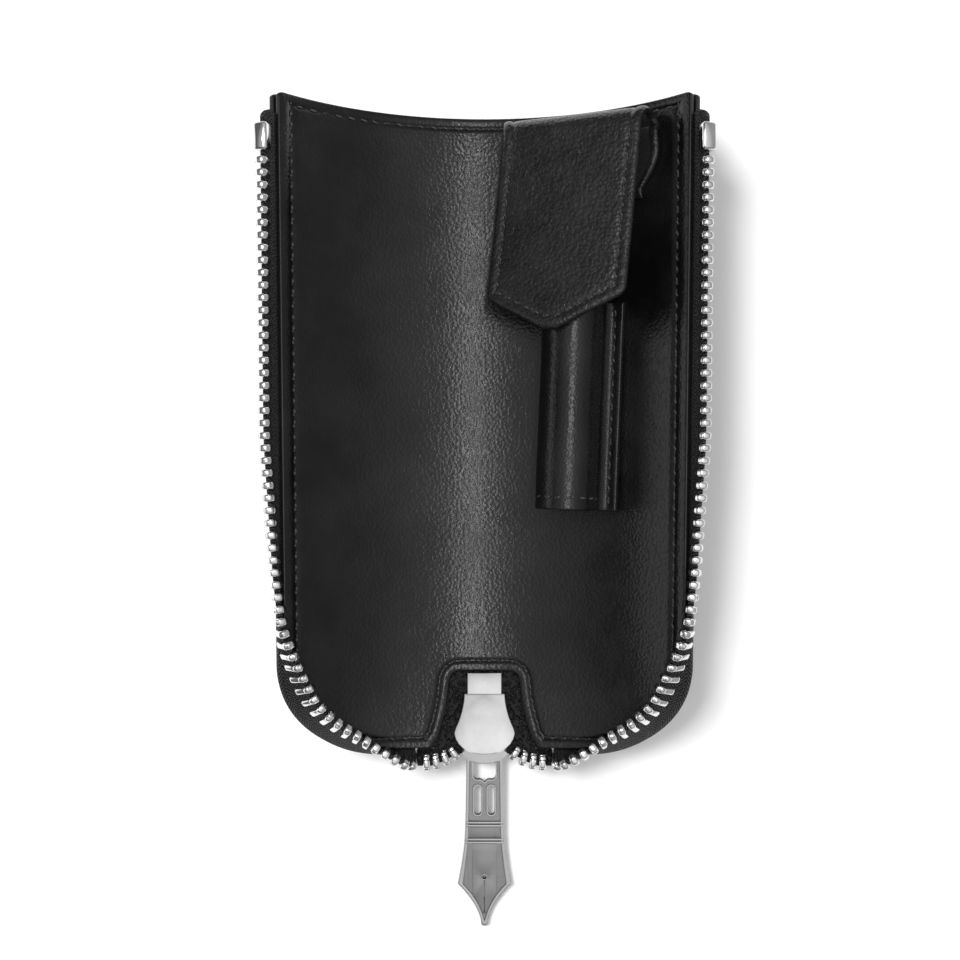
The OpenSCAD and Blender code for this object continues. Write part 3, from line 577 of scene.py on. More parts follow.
def tape_edge(q):
    """The tape's toothed edge, which meets the other cover's when the case is closed."""
    q = np.atleast_1d(q)
    x, y, out_x, out_y = edge_at(q)
    lean = lean_at(q)
    away_x, away_y = x + lean * out_x, y + lean * out_y
    across = (away_x - FOLD_X) * math.cos(CLOSE_ANGLE) + FOLD_TO_TAPE
    closing = FOLD_Z + across / math.sin(CLOSE_ANGLE)
    t = np.clip((q - Q_CORNER - LEVEL_FROM) / (Q_END - Q_CORNER - LEVEL_PAST_END), 0, 1)
    share = (1 + np.cos(math.pi * t)) / 2
    z = closing * share + (surface(x, y)[..., 2] + END_RISE) * (1 - share)
    return np.stack([away_x, away_y, z], -1)


def tape_under(q, inset, depth=CORE_MID):
    x, y, out_x, out_y = edge_at(np.atleast_1d(q))
    return surface(x - inset * out_x, y - inset * out_y, depth)


def mirrored(points, side):
    return np.asarray(points) * (side, 1, 1)


print("run of the covers' edge beside one tape, mm:", round(float(Q_END) / MM, 1))

# %% [markdown]
# The strip is guided by a few columns of points, from the part that is sewn in to the toothed
# edge. Smooth curves through them give its bend. Four thicker columns at the edge make the
# cord. The top end is cut round, so that the weave frays less.

# %% A woven strip with a corded edge
CORD_HALVES = np.array([0.42, 0.66, 0.62, 0.30]) * MM


def smooth_columns(points, per_span):
    """Catmull-Rom curves across the strip, through its guiding columns."""
    before = 2 * points[:, :1] - points[:, 1:2]
    after = 2 * points[:, -1:] - points[:, -2:-1]
    padded = np.concatenate([before, points, after], 1)
    columns = []
    for i in range(1, padded.shape[1] - 2):
        a, b, c, d = (padded[:, i + k] for k in (-1, 0, 1, 2))
        for t in np.arange(per_span) / per_span:
            columns.append(0.5 * (2 * b + (c - a) * t + (2 * a - 5 * b + 4 * c - d) * t ** 2
                                  + (3 * b - a - 3 * c + d) * t ** 3))
    columns.append(padded[:, -2])
    return np.stack(columns, 1)


def woven_strip(name, rows, halves, body, nodes):
    """A thick strip through rows of points. halves gives half its thickness, column by column."""
    rows = np.asarray(rows, float)
    across = np.gradient(rows, axis=1)
    along = np.gradient(rows, axis=0)
    face = unit(np.cross(across, along))
    upper = rows + face * halves[None, :, None]
    lower = rows - face * halves[None, :, None]
    m, n = rows.shape[:2]
    ring = np.concatenate([upper, lower[:, ::-1]], 1)
    points, faces = loft([list(r) for r in ring])
    widths = np.linalg.norm(np.diff(rows, axis=1), axis=-1)
    u = np.concatenate([np.zeros((m, 1)), np.cumsum(widths, 1)], 1)
    middle = rows[:, n // 2]
    v = np.concatenate([[0], np.cumsum(np.linalg.norm(np.diff(middle, axis=0), axis=-1))])
    lay = np.stack([u, np.broadcast_to(v[:, None], u.shape)], -1)
    lay = np.concatenate([lay, lay[:, ::-1]], 1).reshape(-1, 2)
    return make_object(name, points, faces, body, nodes, uv=lay)


def strip_halves(count, cord=True):
    halves = np.full(count, TAPE_T / 2)
    if cord:
        halves[-len(CORD_HALVES):] = CORD_HALVES
    return halves


TAPE_ROWS = 190
END_ROUNDING, ROUNDED_LENGTH = 2.6 * MM, 6 * MM
q_rows = np.linspace(0, Q_END, TAPE_ROWS)
tucked = [tape_under(q_rows, inset * MM, CORE_MID - fall * MM)
          for inset, fall in ((2, 0), (1, 0), (0, 0), (-0.55, 0.25), (-0.8, 1.1))]
foot = tucked[-1]
rounding = END_ROUNDING * np.clip(1 - q_rows / ROUNDED_LENGTH, 0, 1) ** 1.5
climb = [tape_edge(q_rows + rounding * share) for share in (0.06, 0.42, 1)]
standing = [foot + (climb[0] - foot) * 0.42, foot + (climb[1] - foot) * 0.8,
            climb[2] + unit(climb[2] - foot) * 0.1 * MM]
tape_rows = smooth_columns(np.stack(tucked + standing, 1), 3)
for side, word in SIDES:
    woven_strip("woven_tape_" + word, mirrored(tape_rows, side), strip_halves(tape_rows.shape[1]),
                word + "_cover", ["zip_tape_" + word])
tape_steps = np.linalg.norm(np.diff(tape_edge(q_rows), axis=0), axis=-1)
print("length of one tape, mm:", round(float(tape_steps.sum()) / MM, 1))

# %% [markdown]
# ## The teeth
#
# A metal tooth has two legs, pinched round the tape's cord, and a head with a little nub that
# snaps under its neighbour. Rounded rings of points make one tooth, and the frame of the
# tape's edge carries it to its place, so the row follows every turn of the tape.

# %% One tooth, and its frame
TOOTH_PITCH = 2.83 * MM
FIRST_TOOTH = 12.2 * MM


def rounded_ring(x, half_y, half_z, middle_z=0.0, power=0.6, count=12):
    ring = []
    for a in np.linspace(0, 2 * math.pi, count + 1)[:-1] + math.pi / count:
        c, s = math.cos(a), math.sin(a)
        ring.append((x, half_y * math.copysign(abs(c) ** power, c),
                     middle_z + half_z * math.copysign(abs(s) ** power, s)))
    return ring


def tooth_parts(head_from=-0.8, leg_from=-3.1):
    """Rings for the head and the two legs. x points away from the tape, y along the row."""
    head = [rounded_ring(x * MM, y * MM, z * MM) for x, y, z in
            ((head_from, 0.4, 1.0), (head_from + 0.14, 0.7, 1.4), (head_from + 0.5, 0.86, 1.5),
             (0.25, 0.92, 1.5), (0.6, 0.92, 1.4), (0.74, 0.9, 1.12), (1.15, 0.86, 1.04),
             (1.36, 0.7, 0.84), (1.46, 0.4, 0.5))]
    parts = [loft(head)]
    for way in (-1, 1):
        leg = [rounded_ring(x * MM, y * MM, z * MM, way * m * MM, count=8) for x, y, z, m in
               ((leg_from, 0.5, 0.18, 0.66), (leg_from + 0.1, 0.68, 0.32, 0.68),
                (leg_from + 0.5, 0.72, 0.4, 0.74), (-1.2, 0.68, 0.42, 0.9),
                (-0.6, 0.64, 0.44, 0.96), (0.1, 0.5, 0.34, 0.96))]
        parts.append(loft(leg))
    nub = [[(0.78 * MM + 0.34 * MM * g * math.cos(a), y * MM, 0.55 * MM * g * math.sin(a))
            for a in np.linspace(0, 2 * math.pi, 9)[:-1]] for y, g in ((0.5, 1), (0.82, 0.86), (0.94, 0.4))]
    parts.append(loft(nub))
    return gather(parts)


print("points of one tooth:", len(tooth_parts()[0]))

# %% [markdown]
# The row needs equal steps along the tape's edge, not along the leather's. So the length of
# the edge is summed up first, and each tooth's place is read back from that sum.

# %% The two rows of teeth
def placed(part, out, path, across, origin):
    """A part set into a frame: away from the tape, along the row, and across it."""
    points, faces = part
    turn = np.stack([out, path, across], 0)
    return np.asarray(points) @ turn + origin, faces


def tape_frame(q):
    under = tape_under(q, -0.7 * MM)
    origin = tape_edge(q)
    out = unit(origin - under)
    path = unit(tape_edge(q - 0.5 * MM) - tape_edge(q + 0.5 * MM))
    across = unit(np.cross(out, path))
    return out, unit(np.cross(across, out)), across, origin


fine_q = np.linspace(0, Q_END, 800)
runs = np.concatenate([[0], np.cumsum(np.linalg.norm(np.diff(tape_edge(fine_q), axis=0), axis=-1))])
tooth_count = int((runs[-1] - FIRST_TOOTH) / TOOTH_PITCH) + 1
tooth_at = np.interp(FIRST_TOOTH + np.arange(tooth_count) * TOOTH_PITCH, runs, fine_q)
one_tooth = tooth_parts()
frames_of_teeth = [np.stack(v) for v in zip(*tape_frame(tooth_at))]
row_points, row_faces = gather([placed(one_tooth, *axes) for axes in frames_of_teeth])
for side, word in SIDES:
    make_object("teeth_row_" + word, mirrored(row_points, side), row_faces, word + "_cover",
                ["zip_teeth_" + word], sharp=50)
print("teeth on each side:", tooth_count)

# %% [markdown]
# The two stops at the top of the zip are plain bars, crimped over the cord. Each is a tooth
# drawn out along the row, with rounded corners.

# %% Top stops
STOP_DOWN, STOP_LENGTH = 6.8 * MM, 6.3 * MM
STOP_HALF_X, STOP_HALF_Z, STOP_BACK = 1.6 * MM, 1.75 * MM, -0.3 * MM


def bar_along_row(length, half_x, half_z, middle_x):
    """A bar with rounded corners that lies along the row of teeth."""
    rings = []
    for t, g in ((-1, 0.72), (-0.95, 0.9), (-0.82, 1), (0.82, 1), (0.95, 0.9), (1, 0.72)):
        ring = rounded_ring(t * length / 2, half_x * g, half_z * g, power=0.45, count=16)
        rings.append([(middle_x + y, x, z) for x, y, z in ring])
    return loft(rings)


stop_frame = [v[0] for v in tape_frame(np.array([STOP_DOWN]))]
stop_bar = bar_along_row(STOP_LENGTH, STOP_HALF_X, STOP_HALF_Z, STOP_BACK)
points, faces = placed(stop_bar, *stop_frame)
for side, word in SIDES:
    make_object("stop_bar_" + word, mirrored(points, side), faces, word + "_cover",
                ["top_stop_" + word], sharp=60)
print("stops at, mm:", [round(float(v) / MM, 1) for v in stop_frame[3]])

# %% [markdown]
# ## The slider
#
# The slider sits in the cut-out at the bottom end, tilted with the lift of the leather. Its
# face is a smooth bell with a short bar above it, and the outer plate shows as a rim below.
# The plates are slabs with softened rims, because a hard edge would catch no light.

# %% Slabs with softened rims
SOFT_CORNER = 0.3


def slab(loops, low, high, soften=0.0, soften_low=0.0):
    """A flat solid from an outline that runs anticlockwise and holes that run clockwise."""
    bm = bmesh.new()
    s = SOFT_CORNER
    levels, upper = [(0, low)], [(0, high)]
    if soften_low:
        levels = [(soften_low, low), (soften_low * s, low + soften_low * s), (0, low + soften_low)]
    if soften:
        upper = [(0, high - soften), (soften * s, high - soften * s), (soften, high)]
    levels += upper
    ends = {0: [], len(levels) - 1: []}
    for loop in loops:
        rings = []
        for k, (inset, z) in enumerate(levels):
            ring = [bm.verts.new((x, y, z)) for x, y in (inset_loop(loop, inset) if inset else loop)]
            rings.append(ring)
            if k in ends:
                ends[k] += [bm.edges.new((ring[i - 1], ring[i])) for i in range(len(ring))]
        for a, b in zip(rings, rings[1:]):
            for i in range(len(a)):
                bm.faces.new((a[i - 1], a[i], b[i], b[i - 1]))
    for edges in ends.values():
        bmesh.ops.triangle_fill(bm, edges=edges, use_beauty=True, use_dissolve=False)
    bm.verts.index_update()
    points = np.array([v.co[:] for v in bm.verts])
    faces = [tuple(v.index for v in face.verts) for face in bm.faces]
    bm.free()
    return points, faces


def both_sides(half):
    """A closed outline from its right-hand half, which runs anticlockwise from bottom to top."""
    half = [tuple(p) for p in half]
    return np.array(half + [(-x, y) for x, y in reversed(half) if x > 1e-9])


print("slabs are ready")

# %% [markdown]
# The bell's outline is drawn as one half and mirrored. The plate behind it is the same bell
# with a longer lip, which shows as a thin rim below the face. Short rails at the flanks close
# the channel in which the teeth run.

# %% The slider's frame and plates
SLIDER_RUN, SLIDER_LIP = 19 * MM, 1.9 * MM
SLIDER_Y = BOTTOM_Y + 7.6 * MM
PLATE_T = 1.1 * MM
CHANNEL_HALF = 1.35 * MM
RAIL_T, RAIL_GAP, RAIL_TUCK = 0.8 * MM, 0.72 * MM, 0.2 * MM
PLATE_TOP = CHANNEL_HALF + PLATE_T
low_y, high_y = -SLIDER_LIP, SLIDER_RUN - SLIDER_LIP
TILT = math.atan(float(end_rise(low_y) - end_rise(high_y)) / SLIDER_RUN)
SLIDER_L = SLIDER_RUN / math.cos(TILT)
slider_low, slider_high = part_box("slider_inner_plate")
SLIDER_Z = (slider_high.z + slider_low.z) / 2 - (PLATE_TOP + 0.7 * MM) / 2 * math.cos(TILT)


def on_slider(points):
    x, y, z = np.asarray(points, float).T
    c, s = math.cos(TILT), math.sin(TILT)
    return np.stack([x, SLIDER_Y + y * c + z * s, SLIDER_Z - y * s + z * c], -1)


BELL = np.array([(0, -9.75), (1.9, -9.62), (3.7, -9.2), (5.2, -8.4), (6.3, -7.35), (7.0, -6.2),
                 (7.38, -5.0), (7.36, -4.4), (7.05, -3.4), (6.5, -2.2), (6.0, -0.9), (5.62, 0.4),
                 (5.32, 1.7), (5.1, 3.0), (5.0, 4.2), (4.95, 4.75), (4.15, 4.75), (4.15, 9.76),
                 (0, 9.76)]) * MM
bell_body = BELL[:16]
bell_loop = both_sides(np.concatenate([bell_body, [(0, bell_body[-1][1])]]))
tab_loop = both_sides([(0, 4.0 * MM), (4.12 * MM, 4.0 * MM), (4.12 * MM, 9.76 * MM), (0, 9.76 * MM)])
lip = BELL.copy()
lip[:8, 1] -= np.array([2.2, 2.17, 2.05, 1.8, 1.4, 0.95, 0.4, 0.1]) * MM
outer_loop = both_sides(lip)


def rail(side, low, high):
    """A thin wall along one flank of the bell."""
    outer = [p for p in BELL if p[1] > -4.6 * MM and p[0] > 0]
    inner = [(x - RAIL_T, y) for x, y in outer]
    loop = np.array(outer + inner[::-1])
    return slab([loop if side > 0 else (loop * (-1, 1))[::-1]], low, high)


inner_parts = [slab([bell_loop], CHANNEL_HALF, PLATE_TOP, 0.34 * MM, 0.15 * MM),
               slab([tab_loop], CHANNEL_HALF + 0.05 * MM, PLATE_TOP - 0.3 * MM, 0.2 * MM)]
inner_parts += [rail(side, RAIL_GAP, CHANNEL_HALF + RAIL_TUCK) for side in (-1, 1)]
points, faces = gather(inner_parts)
make_object("slider_face", on_slider(points), faces, "slider", ["slider_inner_plate"],
            sharp=40)
outer_parts = [slab([outer_loop], -PLATE_TOP, -CHANNEL_HALF, 0.25 * MM, 0.3 * MM)]
outer_parts += [rail(side, -CHANNEL_HALF - RAIL_TUCK, -RAIL_GAP) for side in (-1, 1)]
points, faces = gather(outer_parts)
make_object("slider_back_plate", on_slider(points), faces, "slider", ["slider_outer_plate"],
            sharp=40)
print("slider tilts by, degrees:", round(math.degrees(TILT), 2),
      "at height, mm:", round(SLIDER_Z / MM, 2))

# %% [markdown]
# ## The tape in the cut-out
#
# Between the slider and the leather the tape lies flat, then turns over the bottom edge and
# runs out to the first teeth of the cover.

# %% The tape beside the slider
WEDGE_LOW = -SLIDER_L / 2 + 0.6 * MM
WEDGE_LENGTH, WEDGE_TAPER, WEDGE_HALF = 6 * MM, 3.6 * MM, 1.5 * MM


def parted(up):
    """How far the wedge in the slider's throat pushes the tape's edge aside."""
    return WEDGE_HALF * np.clip((WEDGE_LOW + WEDGE_LENGTH - (up - 1.4 * MM)) / WEDGE_TAPER, 0, 1) * 1.1


def beside_slider(x, up):
    return on_slider([[x, up, 0.0]])[0]


def cut_out_row(y):
    """One row of the strip, from under the slider to under the lining."""
    up = (y - SLIDER_Y) / math.cos(TILT)
    edge = float(notch_x(y))
    under = float(np.clip((up - SLIDER_L / 2 + 2.4 * MM) / (2 * MM), 0, 1))
    inner = (3.5 * MM + float(parted(up))) * (1 - under) + 0.06 * MM * under
    return [beside_slider(inner, up), beside_slider(5.2 * MM, up), beside_slider(7.4 * MM, up),
            surface(edge - 0.3 * MM, y, CORE_MID), surface(edge + 2.2 * MM, y, CORE_MID)]


TURN_X, TURN_Y = 12.2 * MM, BOTTOM_Y - 0.7 * MM
LEAD_GAP = 0.4 * MM
LEAD_EDGE = tape_edge(np.array([Q_END]))[0]
turn_up = (TURN_Y - SLIDER_Y) / math.cos(TILT)
turn_row = [beside_slider(x * MM, turn_up) for x in (5.4, 6.6, 7.8)]
turn_row += [surface(TURN_X, TURN_Y, CORE_MID), surface(LEAD_X - LEAD_GAP, TURN_Y, CORE_MID)]
lead_low = [beside_slider(x * MM, up * MM - SLIDER_L / 2)
            for x, up in ((5.4, 0.4), (6.6, -0.1), (7.8, -0.4))]
lead_row = lead_low + [np.array([TURN_X, BOTTOM_Y - 4.0 * MM, (lead_low[2][2] + LEAD_EDGE[2]) / 2]),
                       LEAD_EDGE - np.array([LEAD_GAP, 0, 0])]
rows = np.array([cut_out_row(y) for y in np.linspace(NOTCH_Y + 1.2 * MM, BOTTOM_Y + 0.4 * MM, 16)]
                + [turn_row, lead_row])
rows = smooth_columns(rows, 4)
rows = smooth_columns(rows.transpose(1, 0, 2), 3).transpose(1, 0, 2)


def bend_tape(obj):
    """Bakes the strip's place into its mesh."""
    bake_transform(obj)
    return obj


print("guiding rows in the cut-out tape:", rows.shape[:2])

# %% [markdown]
# The four teeth on each side between the cover and the slider stand closer and turn, one after
# the other, toward the slider's throat. Their legs are short, because the tape is narrow here.

# %% Strips and teeth beside the slider
lead_teeth = []
close_tooth = tooth_parts(-1.5, -2.2)
lead_line = np.array(lead_row[1:])
for x, rise, turn in ((14.0, 0.0, 2), (11.7, 0.1, 8), (9.4, 0.7, 18), (7.2, 1.9, 36)):
    height = float(np.interp(x * MM, lead_line[:, 0], lead_line[:, 2]))
    turn = math.radians(turn)
    out = np.array([-math.sin(turn), -math.cos(turn), 0])
    path = np.array([-math.cos(turn), math.sin(turn), 0])
    lead_teeth.append(placed(close_tooth, out, path, np.cross(out, path),
                             np.array([x * MM, LEAD_EDGE[1] + rise * MM, height])))
lead_points, lead_faces = gather(lead_teeth)
for side, word in SIDES:
    strip = woven_strip("cut_out_tape_" + word, mirrored(rows, side),
                        strip_halves(rows.shape[1], False), None, ["notch_tape_" + word])
    bend_tape(strip)
    bend_tape(make_object("first_teeth_" + word, mirrored(lead_points, side), lead_faces, None,
                          ["lead_teeth_" + word], sharp=50))
print("first teeth on each side:", len(lead_teeth))

# %% [markdown]
# ## The nib-shaped puller
#
# The puller is a flat casting: a raised rim, a window with a curly end, two slots with their own
# rims, a plain band between two pairs of ridges, and a nib with a slit. It is built up from
# slabs, as a die sinker would cut it in levels. The same flat outlines give the rim and the
# field, so they always meet.

# %% The puller's outlines
PULLER_L = 46.2 * MM
SHOULDER = PULLER_L - 10.6 * MM
BAND_TOP = 20.5 * MM
BACK_END = -0.85 * MM
NECK_HALF, NIB_HALF, TIP_HALF = 4.75 * MM, 6.6 * MM, 0.8 * MM


def puller_half(l):
    """Half the puller's width at a distance from its bar."""
    l = np.asarray(l, float)
    shank = (4.4 + 0.35 * np.clip(l / BAND_TOP, 0, 1)) * MM
    swell = np.clip((l - BAND_TOP) / (SHOULDER - BAND_TOP), 0, 1) ** 1.75
    blade = NECK_HALF + (NIB_HALF - NECK_HALF) * swell
    nib = TIP_HALF + (NIB_HALF - TIP_HALF) * np.clip(1 - (l - SHOULDER) / (10.2 * MM), 0, 1) ** 1.75
    return np.where(l < BAND_TOP, shank, np.where(l < SHOULDER, blade, nib))


def field_half(l):
    """Half the width of the sunk field inside the rim."""
    rim = np.interp(l / MM, (0, 20, 30, 35.6, 38, 42, 46),
                    (0.85, 0.85, 0.95, 1.25, 1.15, 0.85, 0.75)) * MM
    return puller_half(l) - rim


L_MARKS = np.concatenate([np.linspace(-0.4, 20.5, 9), np.linspace(22, 35.1, 8),
                          np.linspace(35.6, 45.8, 13)]) * MM
outer_right = [(float(puller_half(l)), l) for l in L_MARKS] + [(0.45 * MM, PULLER_L)]
outer_left = [(-x, l) for x, l in reversed(outer_right)]
field_marks = [l for l in L_MARKS if float(field_half(l)) > 0.12 * MM]
field_right = [(float(field_half(l)), l) for l in field_marks]
rim_loop = np.array([(3.95 * MM, BACK_END)] + outer_right + outer_left + [(-3.95 * MM, BACK_END)]
                    + [(-field_right[0][0], BACK_END)] + [(-x, l) for x, l in field_right]
                    + [(0, field_marks[-1] + 0.8 * MM)] + field_right[::-1]
                    + [(field_right[0][0], BACK_END)])

CURL = [(2.85, 7.6), (2.8, 8.5), (2.5, 9.05), (1.9, 9.3), (1.2, 9.22), (0.75, 9.3),
        (0.35, 9.65), (0, 9.95)]
curl = np.array(CURL + [(-x, l) for x, l in CURL[-2::-1]]) * MM
WINDOW_HALF, WINDOW_START = 2.85 * MM, 1.6 * MM
window_right = [(1.8 * MM, BACK_END), (1.8 * MM, WINDOW_START), (WINDOW_HALF, WINDOW_START)]


def stadium(x, top, bottom, r, clockwise=False):
    loop = arc(x, top + r, r, 180, 360, 8) + arc(x, bottom - r, r, 0, 180, 8)
    return np.array(loop[::-1] if clockwise else loop)


SLOT_TOP, SLOT_BOTTOM, SLOT_X = 10.9 * MM, 18.2 * MM, 1.68 * MM
BREATHER_L, BREATHER_R, SLIT = 33.9 * MM, 0.5 * MM, 0.11 * MM
keyhole = arc(0, BREATHER_L, BREATHER_R, 78, -258, 16)
keyhole = np.array(keyhole + [(-SLIT, 44.0 * MM), (SLIT, 44.0 * MM)])
base_right = [(float(puller_half(l)) - 0.2 * MM, l) for l in L_MARKS]
base_loop = np.array([(3.9 * MM, -0.75 * MM)] + base_right + [(-x, l) for x, l in reversed(base_right)]
                     + [(-3.9 * MM, -0.75 * MM)] + [(-x, l) for x, l in window_right]
                     + [tuple(p) for p in curl[::-1]] + window_right[::-1])
print("puller's outline points:", len(base_loop), "rim:", len(rim_loop))

# %% [markdown]
# Every level of the casting is one slab: the sunk field, the rim, the ridges, the band between
# them and the ring round the nib's hole. Each face also gets a number for its finish, because
# the rim is polished and the field is satin, and the narrow walls get a dark metal as painted shade.

# %% Build the puller from slabs
FIELD_Z, FACE_Z = 0.42 * MM, 0.85 * MM
FIELD, RIM, TEXTURED, SHADED_WALL = 0, 1, 2, 3
slots = [stadium(side * SLOT_X, SLOT_TOP, SLOT_BOTTOM, 0.8 * MM, True) for side in (-1, 1)]
puller_parts = [(slab([base_loop] + slots + [keyhole], -FACE_Z, FIELD_Z, 0.0, 0.2 * MM), FIELD),
                (slab([rim_loop], -FACE_Z + 0.1 * MM, FACE_Z, 0.2 * MM), RIM)]
for side in (-1, 1):
    slot_rim = [stadium(side * SLOT_X, SLOT_TOP - 0.5 * MM, SLOT_BOTTOM + 0.5 * MM, 1.3 * MM),
                stadium(side * SLOT_X, SLOT_TOP - 0.02 * MM, SLOT_BOTTOM + 0.02 * MM, 0.82 * MM, True)]
    puller_parts.append((slab(slot_rim, 0, FACE_Z - 0.08 * MM, 0.16 * MM), RIM))
curl_outer = inset_loop(np.concatenate([[(WINDOW_HALF, WINDOW_START)], curl,
                                        [(-WINDOW_HALF, WINDOW_START)]]), -0.42 * MM)
curl_line = np.concatenate([curl_outer[1:-1], [(-3.27 * MM, WINDOW_START), (-2.87 * MM, WINDOW_START)],
                            curl[::-1], [(2.87 * MM, WINDOW_START)]])
puller_parts.append((slab([curl_line], 0, FACE_Z - 0.05 * MM, 0.12 * MM), RIM))


def block(half, low, high, top):
    """A low block across the puller, with softened upper edges."""
    loop = np.array([(-half, low), (half, low), (half, high), (-half, high)])
    return slab([loop], 0, top, 0.1 * MM)


RIDGE_W = 0.52 * MM
for l in np.array([20.05, 20.8, 24.3, 25.05]) * MM:
    ridge_half = float(puller_half(l)) - 0.02 * MM
    ridge = block(ridge_half, l - RIDGE_W / 2, l + RIDGE_W / 2, FACE_Z + 0.12 * MM)
    puller_parts.append((ridge, RIM))
band_half = float(field_half(22.5 * MM)) - 0.25 * MM
puller_parts.append((block(band_half, 21.35 * MM, 23.8 * MM, FIELD_Z + 0.12 * MM), TEXTURED))
strip_marks = [l for l in field_marks if l > 26 * MM]
STRIP_HALF = 3.05 * MM
strip_side = [(min(STRIP_HALF, float(field_half(l)) - 0.12 * MM), l) for l in strip_marks]
strip_side = [(STRIP_HALF, 25.5 * MM)] + [p for p in strip_side if p[0] > 0.2 * MM]
strip_loop = np.array(strip_side + [(-x, l) for x, l in reversed(strip_side)])
side_field = [(float(field_half(l)) + 0.05 * MM, l) for l in field_marks if 25 * MM < l < 41 * MM]
side_loop = np.array(side_field + [(-x, l) for x, l in reversed(side_field)])
puller_parts.append((slab([side_loop, keyhole], FIELD_Z - 0.2 * MM, FIELD_Z + 0.02 * MM), TEXTURED))
puller_parts.append((slab([strip_loop, keyhole], 0, FIELD_Z + 0.13 * MM, 0.08 * MM), FIELD))
BAR_R = 0.8 * MM
bar_rings = [[(x * MM, -BAR_R * g * math.sin(a), BAR_R * g * math.cos(a))
              for a in np.linspace(0, 2 * math.pi, 17)[:-1]]
             for x, g in ((-4.1, 0.9), (-3.9, 1), (3.9, 1), (4.1, 0.9))]
puller_parts.append((loft(bar_rings), RIM))
RING_R = 0.82 * MM
breather_ring = slab([stadium(0, BREATHER_L - RING_R, BREATHER_L + RING_R, RING_R),
                      np.array(arc(0, BREATHER_L, BREATHER_R + 0.02 * MM, 360, 0, 16)[:-1])],
                     0, FIELD_Z + 0.3 * MM, 0.12 * MM)
puller_parts.append((breather_ring, RIM))
points, faces = gather([part for part, _ in puller_parts])
kinds = [kind for part, kind in puller_parts for _ in part[1]]
# Upright and steep faces get a dark metal: painted shade on the puller's narrow walls.
UPRIGHT, STEEP = 0.05, 0.3
for number, face in enumerate(faces):
    a, b, c = (np.asarray(points[v]) for v in face[:3])
    level = abs(unit(np.cross(b - a, c - a))[2])
    if level < UPRIGHT or (level < STEEP and kinds[number] != RIM):
        kinds[number] = SHADED_WALL
print("slabs and bars in the puller:", len(puller_parts))

# %% [markdown]
# The puller was built flat, with its bar at the origin. It is now turned about the bar until
# its tip comes down to the table, and moved to the eye of the slider's bridge.

# %% Hang the puller on the slider
PIVOT_ALONG, PIVOT_DOWN = 6.7 * MM, PLATE_TOP + 0.85 * MM + 0.6 * MM
TIP_Z = 0.95 * MM
pivot = on_slider([[0, -PIVOT_ALONG, -PIVOT_DOWN]])[0]
droop = math.asin((pivot[2] - TIP_Z) / PULLER_L)
c, s = math.cos(droop), math.sin(droop)
hung = np.stack([points[:, 0], pivot[1] - points[:, 1] * c - points[:, 2] * s,
                 pivot[2] - points[:, 1] * s + points[:, 2] * c], -1)
puller = make_object("nib_shaped_puller", hung, faces, "puller", ["nib_puller"],
                     sharp=40, face_kind=kinds)
print("puller droops by, degrees:", round(math.degrees(droop), 2), "faces:", len(faces))

# %% [markdown]
# ## The pen's sleeve
#
# The sleeve is one piece of leather, wrapped round the pen and sewn down beside it, so its
# section looks like a letter P lying down. The section is drawn once as a line, thickened,
# and carried down the sleeve. It keeps its round shape without the pen.

# %% The frame on the right-hand cover
SLEEVE_PHI, SLEEVE_SKEW, SLEEVE_PITCH = (math.radians(v) for v in (21.5, 2, 1))
SLEEVE_L = 50 * MM
SLEEVE_TOP = TOP_Y - 46.6 * MM
SLEEVE_T = 0.9 * MM
SLEEVE_R = 7.3 * MM
SLEEVE_LIFT = 0.2 * MM
FLANGE = 11 * MM


def dish(x):
    return TROUGH_R - np.sqrt(TROUGH_R ** 2 - np.asarray(x, float) ** 2)


def turned(points, axis, angle):
    turn = np.array(Matrix.Rotation(angle, 3, axis))
    return np.asarray(points, float) @ turn.T


def on_cover(points):
    at = np.array([TROUGH_R * math.sin(SLEEVE_PHI), 0, STACK_T + TROUGH_R * (1 - math.cos(SLEEVE_PHI))])
    return turned(points, "Y", -SLEEVE_PHI) + at


def on_sleeve(points):
    """From the sleeve's own measures, middle down at y = 0, to its place on the cover."""
    points = turned(np.asarray(points) - (0, SLEEVE_L / 2, 0), "X", -SLEEVE_PITCH)
    points = turned(points + (0, SLEEVE_L / 2, 0), "Z", -SLEEVE_SKEW)
    return on_cover(points + (0, SLEEVE_TOP - SLEEVE_L / 2, 0))


print("sleeve, mm:", round(SLEEVE_L / MM, 1), "long, radius", round(SLEEVE_R / MM, 1))

# %% [markdown]
# The sleeve and the flap are both soft sheets over a grid of points. Each point knows how far
# it is from the sheet's border, and the thickness there follows a quarter circle, so the
# border is round. The lower face can have another finish, such as suede.

# %% A sheet of leather with rounded borders
WELD = 1e-6


def grid_normals(grid):
    return unit(np.cross(np.gradient(grid, axis=1), np.gradient(grid, axis=0)))


